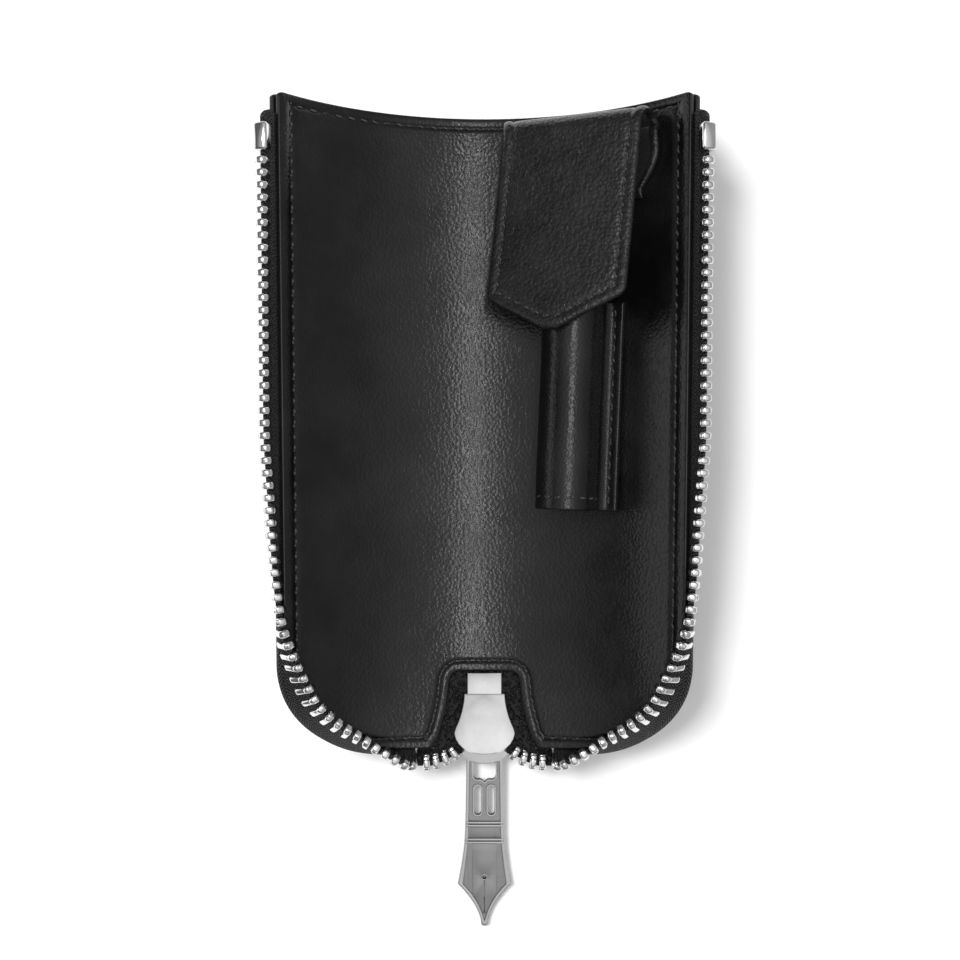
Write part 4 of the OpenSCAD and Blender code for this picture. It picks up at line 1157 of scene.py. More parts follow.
def soft_sheet(name, grid, border, half_t, body, nodes, dip, lay,
               kinds=(0, 0), round_r=None, facing=1, turned_edge=0.0):
    """A thick sheet over a grid of points; border says how far each point is from the sheet's edge."""
    round_r = round_r or half_t
    face = grid_normals(grid) * facing
    fade = np.clip(border / round_r, 0, 1)
    puff = half_t * np.sqrt(np.clip(1 - (1 - fade) ** 2, 0, 1))
    upper = grid + face * (puff - dip)[..., None]
    lower = grid - face * puff[..., None]
    m, n = border.shape
    points = np.concatenate([upper.reshape(-1, 3), lower.reshape(-1, 3)])
    top = grid_faces(m, n)
    faces = top + [tuple(reversed([v + m * n for v in f])) for f in top]
    flat_lay = lay.reshape(-1, 2)
    gaps = border.ravel()
    lower_kinds = [kinds[0] if gaps[list(f)].mean() < turned_edge else kinds[1] for f in top]
    obj = make_object(name, points, faces, None, nodes,
                      uv=np.concatenate([flat_lay, flat_lay + 0.5]),
                      face_kind=[kinds[0]] * len(top) + lower_kinds)
    bm = bmesh.new()
    bm.from_mesh(obj.data)
    bmesh.ops.remove_doubles(bm, verts=bm.verts, dist=WELD)
    bmesh.ops.recalc_face_normals(bm, faces=bm.faces)
    bm.to_mesh(obj.data)
    bm.free()
    if body:
        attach(obj, body)
    return obj


def end_steps(length, count):
    """Places along a length that are close together at both ends, to round the edges there."""
    close = np.array([0, 0.08, 0.22, 0.5, 0.9]) * MM
    even = np.linspace(1.4 * MM, length - 1.4 * MM, count)
    return np.concatenate([close, even, (length - close)[::-1]])


print("steps down the sleeve:", len(end_steps(SLEEVE_L, 40)))

# %% [markdown]
# The section runs in from the flange's edge, up over the pen's round and back under it to the
# other edge. Slow waves along the tube keep it from looking turned on a lathe, and the leather
# swells a little past the hem.

# %% Sleeve
ring_r = SLEEVE_R - SLEEVE_T / 2
ring_z = SLEEVE_LIFT + SLEEVE_R
turn = np.radians(np.linspace(-32, 262, 64))
ring = np.stack([ring_r * np.cos(turn), ring_z + ring_r * np.sin(turn)], -1)
upper_x = np.array([11.0, 10.9, 10.6, 10.1, 9.4, 8.7, 8.0, 7.35, 6.85]) * MM
upper_z = dish(upper_x) + SLEEVE_LIFT + np.array([1.12, 1.12, 1.12, 1.12, 1.12, 1.15, 1.3, 1.72, 2.35]) * MM
lower_x = np.linspace(0.6, 11.0, 14) * MM
lower_x = np.concatenate([lower_x[:-1], np.array([10.6, 10.9, 11.0]) * MM])
lower_z = dish(lower_x) + SLEEVE_LIFT + 0.42 * MM
section = np.concatenate([np.stack([upper_x, upper_z], -1), ring, np.stack([lower_x, lower_z], -1)])
section_run = np.concatenate([[0], np.cumsum(np.linalg.norm(np.diff(section, axis=0), axis=-1))])
downs = end_steps(SLEEVE_L, 40)
HEM = 3.0 * MM
bulge = (0.12 * MM * np.sin(downs / SLEEVE_L * math.pi * 3.3 + 0.6)
         + 0.10 * MM * np.sin(downs / SLEEVE_L * 17))
grid = np.empty((len(downs), len(section), 3))
for j, down in enumerate(downs):
    mouth = 0.10 * MM * math.exp(-((down - SLEEVE_L + 0.8 * MM) / (1.2 * MM)) ** 2)
    swell = 1 + (bulge[j] + mouth) / ring_r * 0.4
    x = np.where(section[:, 1] > ring_z, section[:, 0] * swell, section[:, 0])
    grid[j] = np.stack([x, np.full(len(section), SLEEVE_L / 2 - down), section[:, 1]], -1)
from_ends = np.minimum(downs, SLEEVE_L - downs)[:, None]
from_sides = np.minimum(section_run, section_run[-1] - section_run)[None]
border = np.minimum(from_ends, from_sides)
SEWN_HALF, FLANGE_SEAM = 0.5 * MM, 2.1 * MM
hem_dip = 0.16 * MM * np.exp(-((SLEEVE_L - downs[:, None] - HEM) / SEWN_HALF) ** 2)
flange_dip = 0.14 * MM * np.exp(-((section_run[None] - FLANGE_SEAM) / SEWN_HALF) ** 2)
lay = np.stack(np.broadcast_arrays(section_run[None], downs[:, None]), -1)
soft_sheet("pen_sleeve_leather", on_sleeve(grid.reshape(-1, 3)).reshape(grid.shape), border, SLEEVE_T / 2,
           "right_cover", ["pen_sleeve"], dip=hem_dip + flange_dip, lay=lay)
print("points in the sleeve's section:", len(section))

# %% [markdown]
# One seam holds the flange to the lining, and another runs round the hem at the mouth.

# %% Stitches on the sleeve
sleeve_threads = []


def sew_sleeve(x, z, from_y, to_y):
    line = on_sleeve([[x, y, z] for y in np.linspace(from_y, to_y, 40)])
    up = unit(on_sleeve([[x, 0, z + 1 * MM]]) - on_sleeve([[x, 0, z]]))[0]
    for middle, way in zip(*even_steps(line, STITCH_PITCH)):
        sleeve_threads.append(stitch_shape(middle, way, up))


SEAM_END = 1.2 * MM
flange_x = FLANGE - FLANGE_SEAM
sew_sleeve(flange_x, float(dish(flange_x)) + SLEEVE_LIFT + 1.5 * MM,
           SLEEVE_L / 2 - SEAM_END, -SLEEVE_L / 2 + SEAM_END)
hem_turn = np.radians(np.linspace(-20, 196, 60))
hem_r = SLEEVE_R - 0.08 * MM
hem_line = np.stack([hem_r * np.cos(hem_turn), np.full(len(hem_turn), HEM - SLEEVE_L / 2),
                     ring_z + hem_r * np.sin(hem_turn)], -1)
hem_at, hem_way = even_steps(hem_line, STITCH_PITCH)
for p, way in zip(hem_at, hem_way):
    up = np.array([p[0], 0, p[2] - ring_z])
    middle = on_sleeve([p])
    turned_up, turned_way = (unit(on_sleeve([p + step]) - middle) for step in (up, way * MM))
    sleeve_threads.append(stitch_shape(middle[0], turned_way[0], turned_up[0]))
points, faces = gather(sleeve_threads)
make_object("sleeve_stitches", points, faces, "right_cover", ["stitching_sleeve"])
print("stitches on the sleeve:", len(sleeve_threads))

# %% [markdown]
# ## The flap
#
# The flap is one strip of leather lined with suede. Its back is sewn to the lining, it loops
# over at the top, and its front comes down over the sleeve to a blunt point. It is made as a
# single sheet that follows one path, so the loop is real.

# %% The flap's path and outline
FLAP_W, FLAP_L, FLAP_POINT, FLAP_T = 33.8 * MM, 47.6 * MM, 8 * MM, 1.7 * MM
LOOP_R = 4.7 * MM
LOOP_Y = TOP_Y - 7.2 * MM
FLAP_SHIFT = 0.4 * MM
LOOP_H = float(dish(FLAP_W / 2 + FLAP_SHIFT)) + SLEEVE_LIFT + LOOP_R
FOLD_H = LOOP_H + LOOP_R
FLAP_CLEAR = 0.4 * MM
FLAP_SLOPE = math.atan((SLEEVE_LIFT + 2 * SLEEVE_R + FLAP_CLEAR + FLAP_T - FOLD_H)
                       / (LOOP_Y - SLEEVE_TOP))
CORNER_ROUND = 3 * MM
BLUNT_HALF = 1.5 * MM
FALL = math.atan(FLAP_POINT / (FLAP_W / 2 - BLUNT_HALF))


def flap_end(x):
    """How far down the flap reaches at a distance from its middle."""
    x = np.abs(np.asarray(x, float))
    half = FLAP_W / 2
    line = FLAP_L - np.maximum(0, x - BLUNT_HALF) * math.tan(FALL)
    line = line - 0.25 * MM * np.exp(-(x / (1.6 * MM)) ** 2)
    centre = half - CORNER_ROUND
    touch = centre + CORNER_ROUND * math.sin(FALL)
    at_touch = FLAP_L - (touch - BLUNT_HALF) * math.tan(FALL)
    up = at_touch - CORNER_ROUND * math.cos(FALL)
    rounded = up + np.sqrt(np.maximum(0, CORNER_ROUND ** 2 - (x - centre) ** 2))
    return np.where(x > touch, rounded, line)


print("flap reaches down, mm:", round(float(flap_end(0)) / MM, 1))

# %% [markdown]
# Each column of points follows the whole path of the strip: up the sewn back, round the loop,
# and down the front, which sags a little and lies askew, as a hand-set flap does. The columns
# and rows are close together near the borders, where the edge is turned.

# %% The flap's sheet
columns = np.concatenate([np.array([0, 0.03, 0.12, 0.3, 0.6, 0.95, 1.4, 1.9, 2.3, 2.6, 2.9, 3.4]) * MM,
                          np.linspace(4.2 * MM, FLAP_W / 2, 9)])
columns = np.concatenate([columns - FLAP_W / 2, (FLAP_W / 2 - columns)[-2::-1]])
BACK_L, BACK_REACH = 15.5 * MM, 5.0 * MM
back_steps = np.linspace(0, 1, 16)
loop_steps = np.linspace(0, 1, 20)[1:-1]
END_STEPS = [0.075, 0.066, 0.06, 0.054, 0.048, 0.038, 0.027, 0.018, 0.01, 0.005, 0.002, 0]
front_steps = 1 - np.concatenate([np.linspace(1, 0.09, 34), END_STEPS])
MID = FLAP_T / 2
CROWN, SAG, SKEW = 1.1 * MM, 0.7 * MM, 1.6 * MM


def flap_column(x):
    """The path of one column: up the back, round the loop, and down the front."""
    side = x / (FLAP_W / 2)
    low = float(dish(x)) + 0.15 * MM + MID
    crown = CROWN * side ** 2
    high = FOLD_H - MID - crown * 0.5
    back_y = LOOP_Y - BACK_L * (1 - back_steps)
    t = back_steps
    widening = np.sin(math.pi / 2 * np.clip((t - 0.12) / 0.62, 0, 1))
    reach = np.where(side > 0, side, 0) * BACK_REACH * widening
    back = np.stack([x + reach - 1.0 * MM * t, back_y,
                     np.full(len(t), low) + dish(x + reach) - dish(x)], -1)
    a = -math.pi / 2 + math.pi * loop_steps
    mid_z, tall = (low + high) / 2, (high - low) / 2
    tail = back[-1, 0]
    spread_x = tail + (x + SKEW - tail) * (1 - np.cos(math.pi * loop_steps)) / 2
    loop = np.stack([spread_x, LOOP_Y + (LOOP_R - MID) * np.cos(a), mid_z + tall * np.sin(a)], -1)
    v = flap_end(x) * front_steps
    sag = SAG * np.sin(math.pi * np.clip(v / FLAP_L, 0, 1))
    skew = SKEW - 2 * SKEW * v / FLAP_L
    c, s = math.cos(FLAP_SLOPE), math.sin(FLAP_SLOPE)
    z = -MID - crown * (0.5 + 0.7 * v / FLAP_L) - sag * 0.6
    front = np.stack([x + skew, LOOP_Y - v * c + z * s, FOLD_H + v * s + z * c], -1)
    return np.concatenate([back, loop, front])


flap_grid = np.stack([flap_column(x) for x in columns], 1)
flap_grid[..., 0] -= FLAP_SHIFT
grid_run = np.concatenate([np.zeros((1, len(columns))),
                           np.cumsum(np.linalg.norm(np.diff(flap_grid, axis=0), axis=-1), 0)], 0)
from_side = (FLAP_W / 2 - np.abs(columns))[None]
front_from = len(back_steps) + len(loop_steps)
end_gap = np.full(grid_run.shape, 1.0)
end_gap[front_from:] = (flap_end(columns)[None] * (1 - front_steps[:, None])) * math.cos(FALL)
from_seamed = np.minimum(np.broadcast_to(from_side, grid_run.shape), end_gap)
flap_border = np.minimum(from_seamed, grid_run)
SEAM_IN, SEAM_DIP = 2.6 * MM, 0.22 * MM
flap_dip = (SEAM_DIP * np.exp(-((from_seamed - SEAM_IN) / (0.55 * MM)) ** 2)
            - 0.14 * MM * np.exp(-((from_seamed - 1.4 * MM) / (0.8 * MM)) ** 2))
lay = np.stack([np.broadcast_to(columns[None], grid_run.shape), grid_run], -1)
flap = soft_sheet("flap", on_cover(flap_grid.reshape(-1, 3)).reshape(flap_grid.shape), flap_border,
                  FLAP_T / 2, None, ["flap_back", "flap_loop", "flap_front", "flap_suede"],
                  dip=flap_dip, kinds=(0, 1), lay=lay, round_r=0.8 * MM, facing=-1,
                  turned_edge=1.3 * MM)
print("flap's faces:", len(flap.data.polygons), "slope, degrees:", round(math.degrees(FLAP_SLOPE), 2))

# %% [markdown]
# The seam follows the flap's border on its outer face, so it has to be found on the sheet
# itself: a place across and a distance down are looked up between the sheet's own points.

# %% Stitches on the flap
front_grid = on_cover(flap_grid[front_from:].reshape(-1, 3)).reshape(-1, len(columns), 3)
front_up = -grid_normals(front_grid)


def on_flap_front(x, v):
    """Point and normal of the flap's outer face at a place across and a distance down."""
    i = np.interp(x, columns, np.arange(len(columns)))
    j = np.interp(v / float(flap_end(x)), front_steps, np.arange(len(front_steps)))
    i0, j0 = min(int(i), len(columns) - 2), min(int(j), len(front_steps) - 2)
    a, b = i - i0, j - j0
    weights = ((j0, i0, (1 - a) * (1 - b)), (j0, i0 + 1, a * (1 - b)),
               (j0 + 1, i0, (1 - a) * b), (j0 + 1, i0 + 1, a * b))
    point = sum(front_grid[r, k] * w for r, k, w in weights)
    up = unit(sum(front_up[r, k] * w for r, k, w in weights))
    return point + up * (FLAP_T / 2 - SEAM_DIP + 0.12 * MM), up


side_x_in = FLAP_W / 2 - SEAM_IN
seam_end = float(flap_end(side_x_in)) - SEAM_IN * 1.05
seam_half = [(side_x_in, v) for v in np.linspace(0.6 * MM, seam_end, 40)]
seam_half += [(x, float(flap_end(x)) - SEAM_IN / math.cos(FALL))
              for x in np.linspace(side_x_in - 0.5 * MM, 0, 20)]
seam_line = seam_half + [(-x, v) for x, v in seam_half[-2::-1]]
flap_threads = []
line, ups = (np.array(v) for v in zip(*(on_flap_front(x, v) for x, v in seam_line)))
for middle, way in zip(*even_steps(line, STITCH_PITCH)):
    nearest = int(np.argmin(np.linalg.norm(line - middle, axis=-1)))
    flap_threads.append(stitch_shape(middle, way, ups[nearest]))
points, faces = gather(flap_threads)
flap_stitches = make_object("flap_stitches", points, faces, None, ["stitching_flap"])
for piece in (flap, flap_stitches):
    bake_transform(piece)
print("stitches on the flap:", len(flap_threads))

# %% [markdown]
# ## Shared finishes
#
# Several materials need the same effects: the grain of leather, the weave of tape, fine
# scratches on metal, and dust. Each is a node group that is built once
# and gives out a height or a mask. The shaders stay in the materials, where each can be read
# and tuned by itself.

# %% Helpers for node groups
def new_group(name, inputs, outputs):
    """An empty node group, from inputs (kind, label, default) and outputs (kind, label)."""
    tree = bpy.data.node_groups.new(name, "ShaderNodeTree")
    for kind, label, default in inputs:
        socket = tree.interface.new_socket(label, in_out="INPUT", socket_type=kind)
        if default is not None:
            socket.default_value = default
    for kind, label in outputs:
        tree.interface.new_socket(label, in_out="OUTPUT", socket_type=kind)
    return tree, tree.nodes.new("NodeGroupInput"), tree.nodes.new("NodeGroupOutput")


class Wires:
    """Short ways to add and join nodes in one tree."""

    def __init__(self, tree):
        self.tree = tree

    def node(self, kind, **settings):
        made = self.tree.nodes.new("ShaderNode" + kind)
        for key, value in settings.items():
            setattr(made, key, value)
        return made

    def join(self, source, target):
        self.tree.links.new(source, target)

    def put(self, value, socket):
        if isinstance(value, bpy.types.NodeSocket):
            self.join(value, socket)
        else:
            socket.default_value = value

    def math(self, operation, a, b=0.0, clamp=False):
        made = self.node("Math", operation=operation, use_clamp=clamp)
        self.put(a, made.inputs[0])
        self.put(b, made.inputs[1])
        return made.outputs[0]

    def noise(self, place, scale, detail=2.0, rough=0.5, distort=0.0):
        made = self.node("TexNoise")
        self.join(place, made.inputs["Vector"])
        self.put(scale, made.inputs["Scale"])
        made.inputs["Detail"].default_value = detail
        made.inputs["Roughness"].default_value = rough
        made.inputs["Distortion"].default_value = distort
        return made.outputs["Fac"]

    def stretch(self, place, scale, turn=0.0):
        made = self.node("Mapping")
        self.join(place, made.inputs["Vector"])
        made.inputs["Scale"].default_value = scale
        made.inputs["Rotation"].default_value = (0, 0, math.radians(turn))
        return made.outputs[0]

    def span(self, value, low, high, to_low=0.0, to_high=1.0):
        made = self.node("MapRange", clamp=True)
        self.join(value, made.inputs["Value"])
        for label, number in (("From Min", low), ("From Max", high),
                              ("To Min", to_low), ("To Max", to_high)):
            self.put(number, made.inputs[label])
        return made.outputs[0]

    def mix(self, share, a, b):
        made = self.node("Mix", data_type="RGBA")
        self.put(share, made.inputs["Factor"])
        self.put(a, made.inputs[6])
        self.put(b, made.inputs[7])
        return made.outputs[2]


print("node helpers are ready")

# %% [markdown]
# Fine calf leather has small soft cells, parted by thin valleys, and long shallow wrinkles
# where it was stretched or bent. The cells are a smooth Voronoi pattern whose place is
# disturbed by noise, so no two are alike. The wrinkles are noise, drawn out one way.

# %% Leather grain
grain, begin, end = new_group(
    "leather_grain",
    [("NodeSocketVector", "Place", None), ("NodeSocketFloat", "Cell size", 0.0007),
     ("NodeSocketFloat", "Wrinkles", 0.5), ("NodeSocketFloat", "Cells", 1.0)],
    [("NodeSocketFloat", "Height"), ("NodeSocketFloat", "Valleys"), ("NodeSocketFloat", "Patches")])
w = Wires(grain)
place = begin.outputs["Place"]
per_metre = w.math("DIVIDE", 1.0, begin.outputs["Cell size"])
bent = w.node("VectorMath", operation="MULTIPLY_ADD")
wander = w.node("TexNoise")
w.join(place, wander.inputs["Vector"])
w.join(w.math("MULTIPLY", per_metre, 0.55), wander.inputs["Scale"])
wander.inputs["Detail"].default_value = 2
w.join(wander.outputs["Color"], bent.inputs[0])
bent.inputs[1].default_value = (0.0003, 0.0003, 0.0003)
w.join(place, bent.inputs[2])
cells = w.node("TexVoronoi", feature="SMOOTH_F1", voronoi_dimensions="2D")
w.join(bent.outputs[0], cells.inputs["Vector"])
w.join(per_metre, cells.inputs["Scale"])
cells.inputs["Smoothness"].default_value = 0.35
cells.inputs["Randomness"].default_value = 0.95
dome = w.span(cells.outputs["Distance"], 0.12, 0.72, 1.0, 0.0)
fold = w.noise(w.stretch(place, (1, 0.6, 1)), 900, 1, 0.5, 0.6)
crease = w.math("ABSOLUTE", w.math("SUBTRACT", fold, 0.5))
crease = w.span(crease, 0.0, 0.075)
patches = w.noise(place, 60, 3, 0.6)
broad = w.noise(place, 210, 2, 0.5)
fine = w.noise(place, 5200, 2, 0.6)
height = w.math("MULTIPLY", w.math("MULTIPLY", dome, begin.outputs["Cells"]),
                w.span(patches, 0.3, 0.7, 0.7, 1.0))
height = w.math("ADD", height, w.math("MULTIPLY", crease, begin.outputs["Wrinkles"]))
height = w.math("ADD", height, w.math("MULTIPLY", broad, 0.6))
height = w.math("ADD", height, w.math("MULTIPLY", fine, 0.03))
w.join(height, end.inputs["Height"])
w.join(w.math("SUBTRACT", 1.0, dome, True), end.inputs["Valleys"])
w.join(patches, end.inputs["Patches"])
print("leather grain nodes:", len(grain.nodes))

# %% [markdown]
# The zip's tape is a herringbone: slanted threads that turn back and forth in columns. The
# flat measures of the strip give the pattern, so it follows the tape round the corners. A second
# output marks the tops of the raised threads, broken by fibre noise, for a painted highlight.

# %% Herringbone weave
weave, begin, end = new_group(
    "tape_weave",
    [("NodeSocketVector", "Place", None), ("NodeSocketFloat", "Column", 0.0019),
     ("NodeSocketFloat", "Thread", 0.0009)],
    [("NodeSocketFloat", "Height"), ("NodeSocketFloat", "Ridge highlight")])
w = Wires(weave)
part = w.node("SeparateXYZ")
w.join(begin.outputs["Place"], part.inputs[0])
jitter = w.math("MULTIPLY", w.math("SUBTRACT", w.noise(begin.outputs["Place"], 1100, 2), 0.5), 0.0009)
folded = w.math("PINGPONG", part.outputs["X"], begin.outputs["Column"])
slant = w.math("ADD", w.math("ADD", part.outputs["Y"], w.math("MULTIPLY", folded, 1.15)), jitter)
wave = w.math("SINE", w.math("MULTIPLY", w.math("DIVIDE", slant, begin.outputs["Thread"]), 2 * math.pi))
across = w.math("DIVIDE", part.outputs["X"], begin.outputs["Thread"])
rows = w.math("SINE", w.math("MULTIPLY", across, math.pi))
ridge = w.span(wave, -0.3, 0.9)
knot = w.math("MULTIPLY", ridge, w.span(w.math("ABSOLUTE", rows), 0.0, 0.6, 0.35, 1.0))
fibre = w.noise(begin.outputs["Place"], 9000, 2, 0.7)
w.join(w.math("ADD", knot, w.math("MULTIPLY", fibre, 0.35)), end.inputs["Height"])
# The tops of the raised threads, broken by fibre noise: the material paints them lighter as a highlight.
w.join(w.math("MULTIPLY", knot, fibre), end.inputs["Ridge highlight"])
print("tape weave nodes:", len(weave.nodes))

# %% [markdown]
# Scratches are noise drawn out very long and thin in three directions. Smudges are slow noise
# that changes how polished the metal is from place to place. Dust is a few rare small specks.
# Leather and metal share the same dust, so the whole case looks as if it lay in one room.

# %% Scratches and dust
scratches, begin, end = new_group(
    "fine_scratches", [("NodeSocketVector", "Place", None), ("NodeSocketFloat", "Size", 1.0)],
    [("NodeSocketFloat", "Height"), ("NodeSocketFloat", "Smudge")])
w = Wires(scratches)
lines = [w.noise(w.stretch(begin.outputs["Place"], stretched, turn), 2600, 2, 0.6)
         for stretched, turn in (((1, 0.03, 0.3), 12), ((0.04, 1, 0.3), -20), ((1, 0.05, 0.3), 60))]
cut = w.math("ADD", w.span(lines[0], 0.60, 0.70),
             w.math("ADD", w.span(lines[1], 0.62, 0.70), w.span(lines[2], 0.64, 0.72)))
smudge = w.noise(begin.outputs["Place"], 260, 3, 0.6, 0.4)
w.join(w.math("MULTIPLY", cut, begin.outputs["Size"]), end.inputs["Height"])
w.join(smudge, end.inputs["Smudge"])

dust, begin, end = new_group(
    "fine_dust", [("NodeSocketVector", "Place", None), ("NodeSocketFloat", "Amount", 0.5)],
    [("NodeSocketFloat", "Mask")])
w = Wires(dust)
specks = w.node("TexVoronoi", feature="F1")
w.join(begin.outputs["Place"], specks.inputs["Vector"])
specks.inputs["Scale"].default_value = 420
small = w.span(specks.outputs["Distance"], 0.02, 0.06, 1.0, 0.0)
rare = w.span(w.noise(begin.outputs["Place"], 800, 1), 0.62, 0.68)
mask = w.math("MULTIPLY", w.math("MULTIPLY", small, rare), begin.outputs["Amount"], True)
w.join(mask, end.inputs["Mask"])
print("node groups:", [g.name for g in bpy.data.node_groups])

# %% [markdown]
# ## Materials
#
# The leather is almost black and quite smooth, so it shows by what it mirrors when light
# strikes it low. The suede is rougher and a little warmer, and the thread is waxed cotton.
# Every material starts the same way, so the shared steps are small functions.

# %% Helpers for materials
def start_material(name, base, rough, **sockets):
    """A material with a Principled shader, its wires, and the place that patterns are read from."""
    made = bpy.data.materials.new(name)
    made.use_nodes = True
    wires = Wires(made.node_tree)
    shader = made.node_tree.nodes["Principled BSDF"]
    shader.inputs["Base Color"].default_value = (*base, 1)
    shader.inputs["Roughness"].default_value = rough
    for label, value in sockets.items():
        shader.inputs[label.replace("_", " ")].default_value = value
    return made, wires, shader


def place_of(wires, lay=True):
    """Where a pattern is read: the piece's flat measures, or its place in the model."""
    coordinates = wires.node("TexCoord")
    return coordinates.outputs["UV" if lay else "Object"]


def use_group(wires, tree, **inputs):
    made = wires.node("Group", node_tree=tree)
    for label, value in inputs.items():
        wires.put(value, made.inputs[label.replace("_", " ")])
    return made


def bump(wires, shader, height, depth):
    made = wires.node("Bump")
    made.inputs["Distance"].default_value = depth
    wires.join(height, made.inputs["Height"])
    wires.join(made.outputs[0], shader.inputs["Normal"])


print("helpers for materials are ready")

# %% [markdown]
# One function makes every leather: the grain gives the bump, its patches make the colour and
# the polish uneven, and dust lies on top. The lining is the smoothest hide, the flap has the
# deepest grain, and the painted edges have hardly any cells.

# %% Leathers
DUST_ON_LEATHER = (0.11, 0.105, 0.10, 1)


def leather(name, base, rough, cell, wrinkles, depth, cells=1.0, specular=0.4):
    made, wires, shader = start_material(name, base, rough, Specular_IOR_Level=specular)
    place = place_of(wires)
    hide = use_group(wires, grain, Place=place, Cell_size=cell, Wrinkles=wrinkles, Cells=cells)
    specks = use_group(wires, dust, Place=place, Amount=0.35)
    dark = tuple(v * 0.6 for v in base) + (1,)
    light = tuple(v * 1.7 for v in base) + (1,)
    tone = wires.mix(wires.span(hide.outputs["Patches"], 0.35, 0.65), dark, light)
    tone = wires.mix(specks.outputs["Mask"], tone, DUST_ON_LEATHER)
    wires.join(tone, shader.inputs["Base Color"])
    shine = wires.math("ADD", wires.span(hide.outputs["Patches"], 0.3, 0.7, rough - 0.04, rough + 0.06),
                       wires.math("MULTIPLY", hide.outputs["Valleys"], 0.08))
    wires.join(shine, shader.inputs["Roughness"])
    bump(wires, shader, hide.outputs["Height"], depth)
    return made


CALF_BLACK = (0.0085, 0.0083, 0.0085)
lining_leather = leather("black_lining_leather", CALF_BLACK, 0.18, 0.0009, 0.3, 0.000034)
shell_leather = leather("black_shell_leather", CALF_BLACK, 0.33, 0.0008, 0.35, 0.00005)
sleeve_leather = leather("sleeve_leather", (0.009, 0.0088, 0.009), 0.22, 0.0007, 0.2, 0.00003)
flap_leather = leather("flap_leather", (0.013, 0.0128, 0.013), 0.24, 0.001, 0.4, 0.00009, specular=0.5)
edge_paint = leather("painted_edge", (0.016, 0.0157, 0.016), 0.30, 0.0011, 0.1, 0.00003, cells=0.3)
print("leathers:", len(bpy.data.materials))

# %% [markdown]
# Suede has a nap of fine fibres, and twisted thread has slanted bands, whose lighter colour is
# a painted glint on the plies. The woven tape uses the herringbone, and the short tapes beside
# the slider show small knitted loops instead; both are painted lighter on their raised threads
# and loops, as a highlight. The board inside the covers is plain grey card.

# %% Suede, thread, tape and board
suede, wires, shader = start_material("warm_grey_suede", (0.018, 0.0172, 0.0165), 0.95,
                                      Specular_IOR_Level=0.1, Sheen_Weight=0.35,
                                      Sheen_Roughness=0.5)
place = place_of(wires)
nap = wires.noise(place, 3600, 4, 0.75, 0.6)
wires.join(wires.mix(wires.span(nap, 0.35, 0.7), (0.004, 0.0039, 0.0038, 1), (0.02, 0.019, 0.018, 1)),
           shader.inputs["Base Color"])
bump(wires, shader, nap, 0.00012)

thread, wires, shader = start_material("waxed_black_thread", (0.016, 0.016, 0.017), 0.5,
                                       Specular_IOR_Level=0.4)
place = place_of(wires, False)
twist_and_glint = wires.node("TexWave", wave_type="BANDS", bands_direction="DIAGONAL")
wires.join(place, twist_and_glint.inputs["Vector"])
twist_and_glint.inputs["Scale"].default_value = 520
twist_and_glint.inputs["Distortion"].default_value = 1.5
# Painted glint: the twist is made lighter in bands, as light on the plies; the bump is the real twist.
wires.join(wires.mix(twist_and_glint.outputs["Fac"], (0.012, 0.012, 0.012, 1), (0.11, 0.11, 0.11, 1)),
           shader.inputs["Base Color"])
bump(wires, shader, twist_and_glint.outputs["Fac"], 0.00006)

tape_cloth, wires, shader = start_material("woven_black_tape", (0.012, 0.012, 0.012), 0.7,
                                           Specular_IOR_Level=0.35, Sheen_Weight=0.1,
                                           Sheen_Roughness=0.4)
cloth = use_group(wires, weave, Place=place_of(wires))
# Painted highlight: the tops of the raised threads are made lighter in colour.
wires.join(wires.mix(cloth.outputs["Ridge highlight"], (0.0005, 0.0005, 0.0005, 1), (0.15, 0.15, 0.15, 1)),
           shader.inputs["Base Color"])
wires.join(wires.span(cloth.outputs["Height"], 0.0, 1.2, 0.8, 0.5), shader.inputs["Roughness"])
bump(wires, shader, cloth.outputs["Height"], 0.0005)

knit, wires, shader = start_material("knitted_black_tape", (0.012, 0.012, 0.012), 0.6,
                                     Specular_IOR_Level=0.4)
place = place_of(wires)
loops = wires.node("TexVoronoi", feature="SMOOTH_F1")
wires.join(wires.stretch(place, (1, 0.7, 1), 25), loops.inputs["Vector"])
loops.inputs["Scale"].default_value = 1500
loops.inputs["Smoothness"].default_value = 0.3
bead = wires.span(loops.outputs["Distance"], 0.1, 0.6, 1.0, 0.0)
glint_breakup = wires.span(wires.noise(place, 2300, 3, 0.7), 0.5, 0.66)
# Painted highlight: the tops of the loops, broken up by noise, are made lighter.
wires.join(wires.mix(wires.math("MULTIPLY", bead, glint_breakup), (0.0015, 0.0015, 0.0015, 1),
                     (0.13, 0.13, 0.13, 1)), shader.inputs["Base Color"])
bump(wires, shader, bead, 0.0004)

board_card, wires, shader = start_material("grey_board", (0.14, 0.13, 0.12), 0.9)
fleck = wires.noise(place_of(wires, False), 1800, 3, 0.7)
wires.join(wires.mix(fleck, (0.10, 0.095, 0.088, 1), (0.2, 0.19, 0.175, 1)), shader.inputs["Base Color"])
bump(wires, shader, fleck, 0.00005)
print("soft materials:", len(bpy.data.materials))

# %% [markdown]
# Metal takes its look from what it mirrors, so its own colour is nearly plain and the polish
# does the work. The teeth and the slider are bright, the puller's field is satin, and its panels
# are blasted with fine grit. Its narrow walls get a dark metal as painted shade.

# %% Materials of metal
DUST_ON_METAL = (0.35, 0.35, 0.35, 1)
SMOOTHEST = 0.03


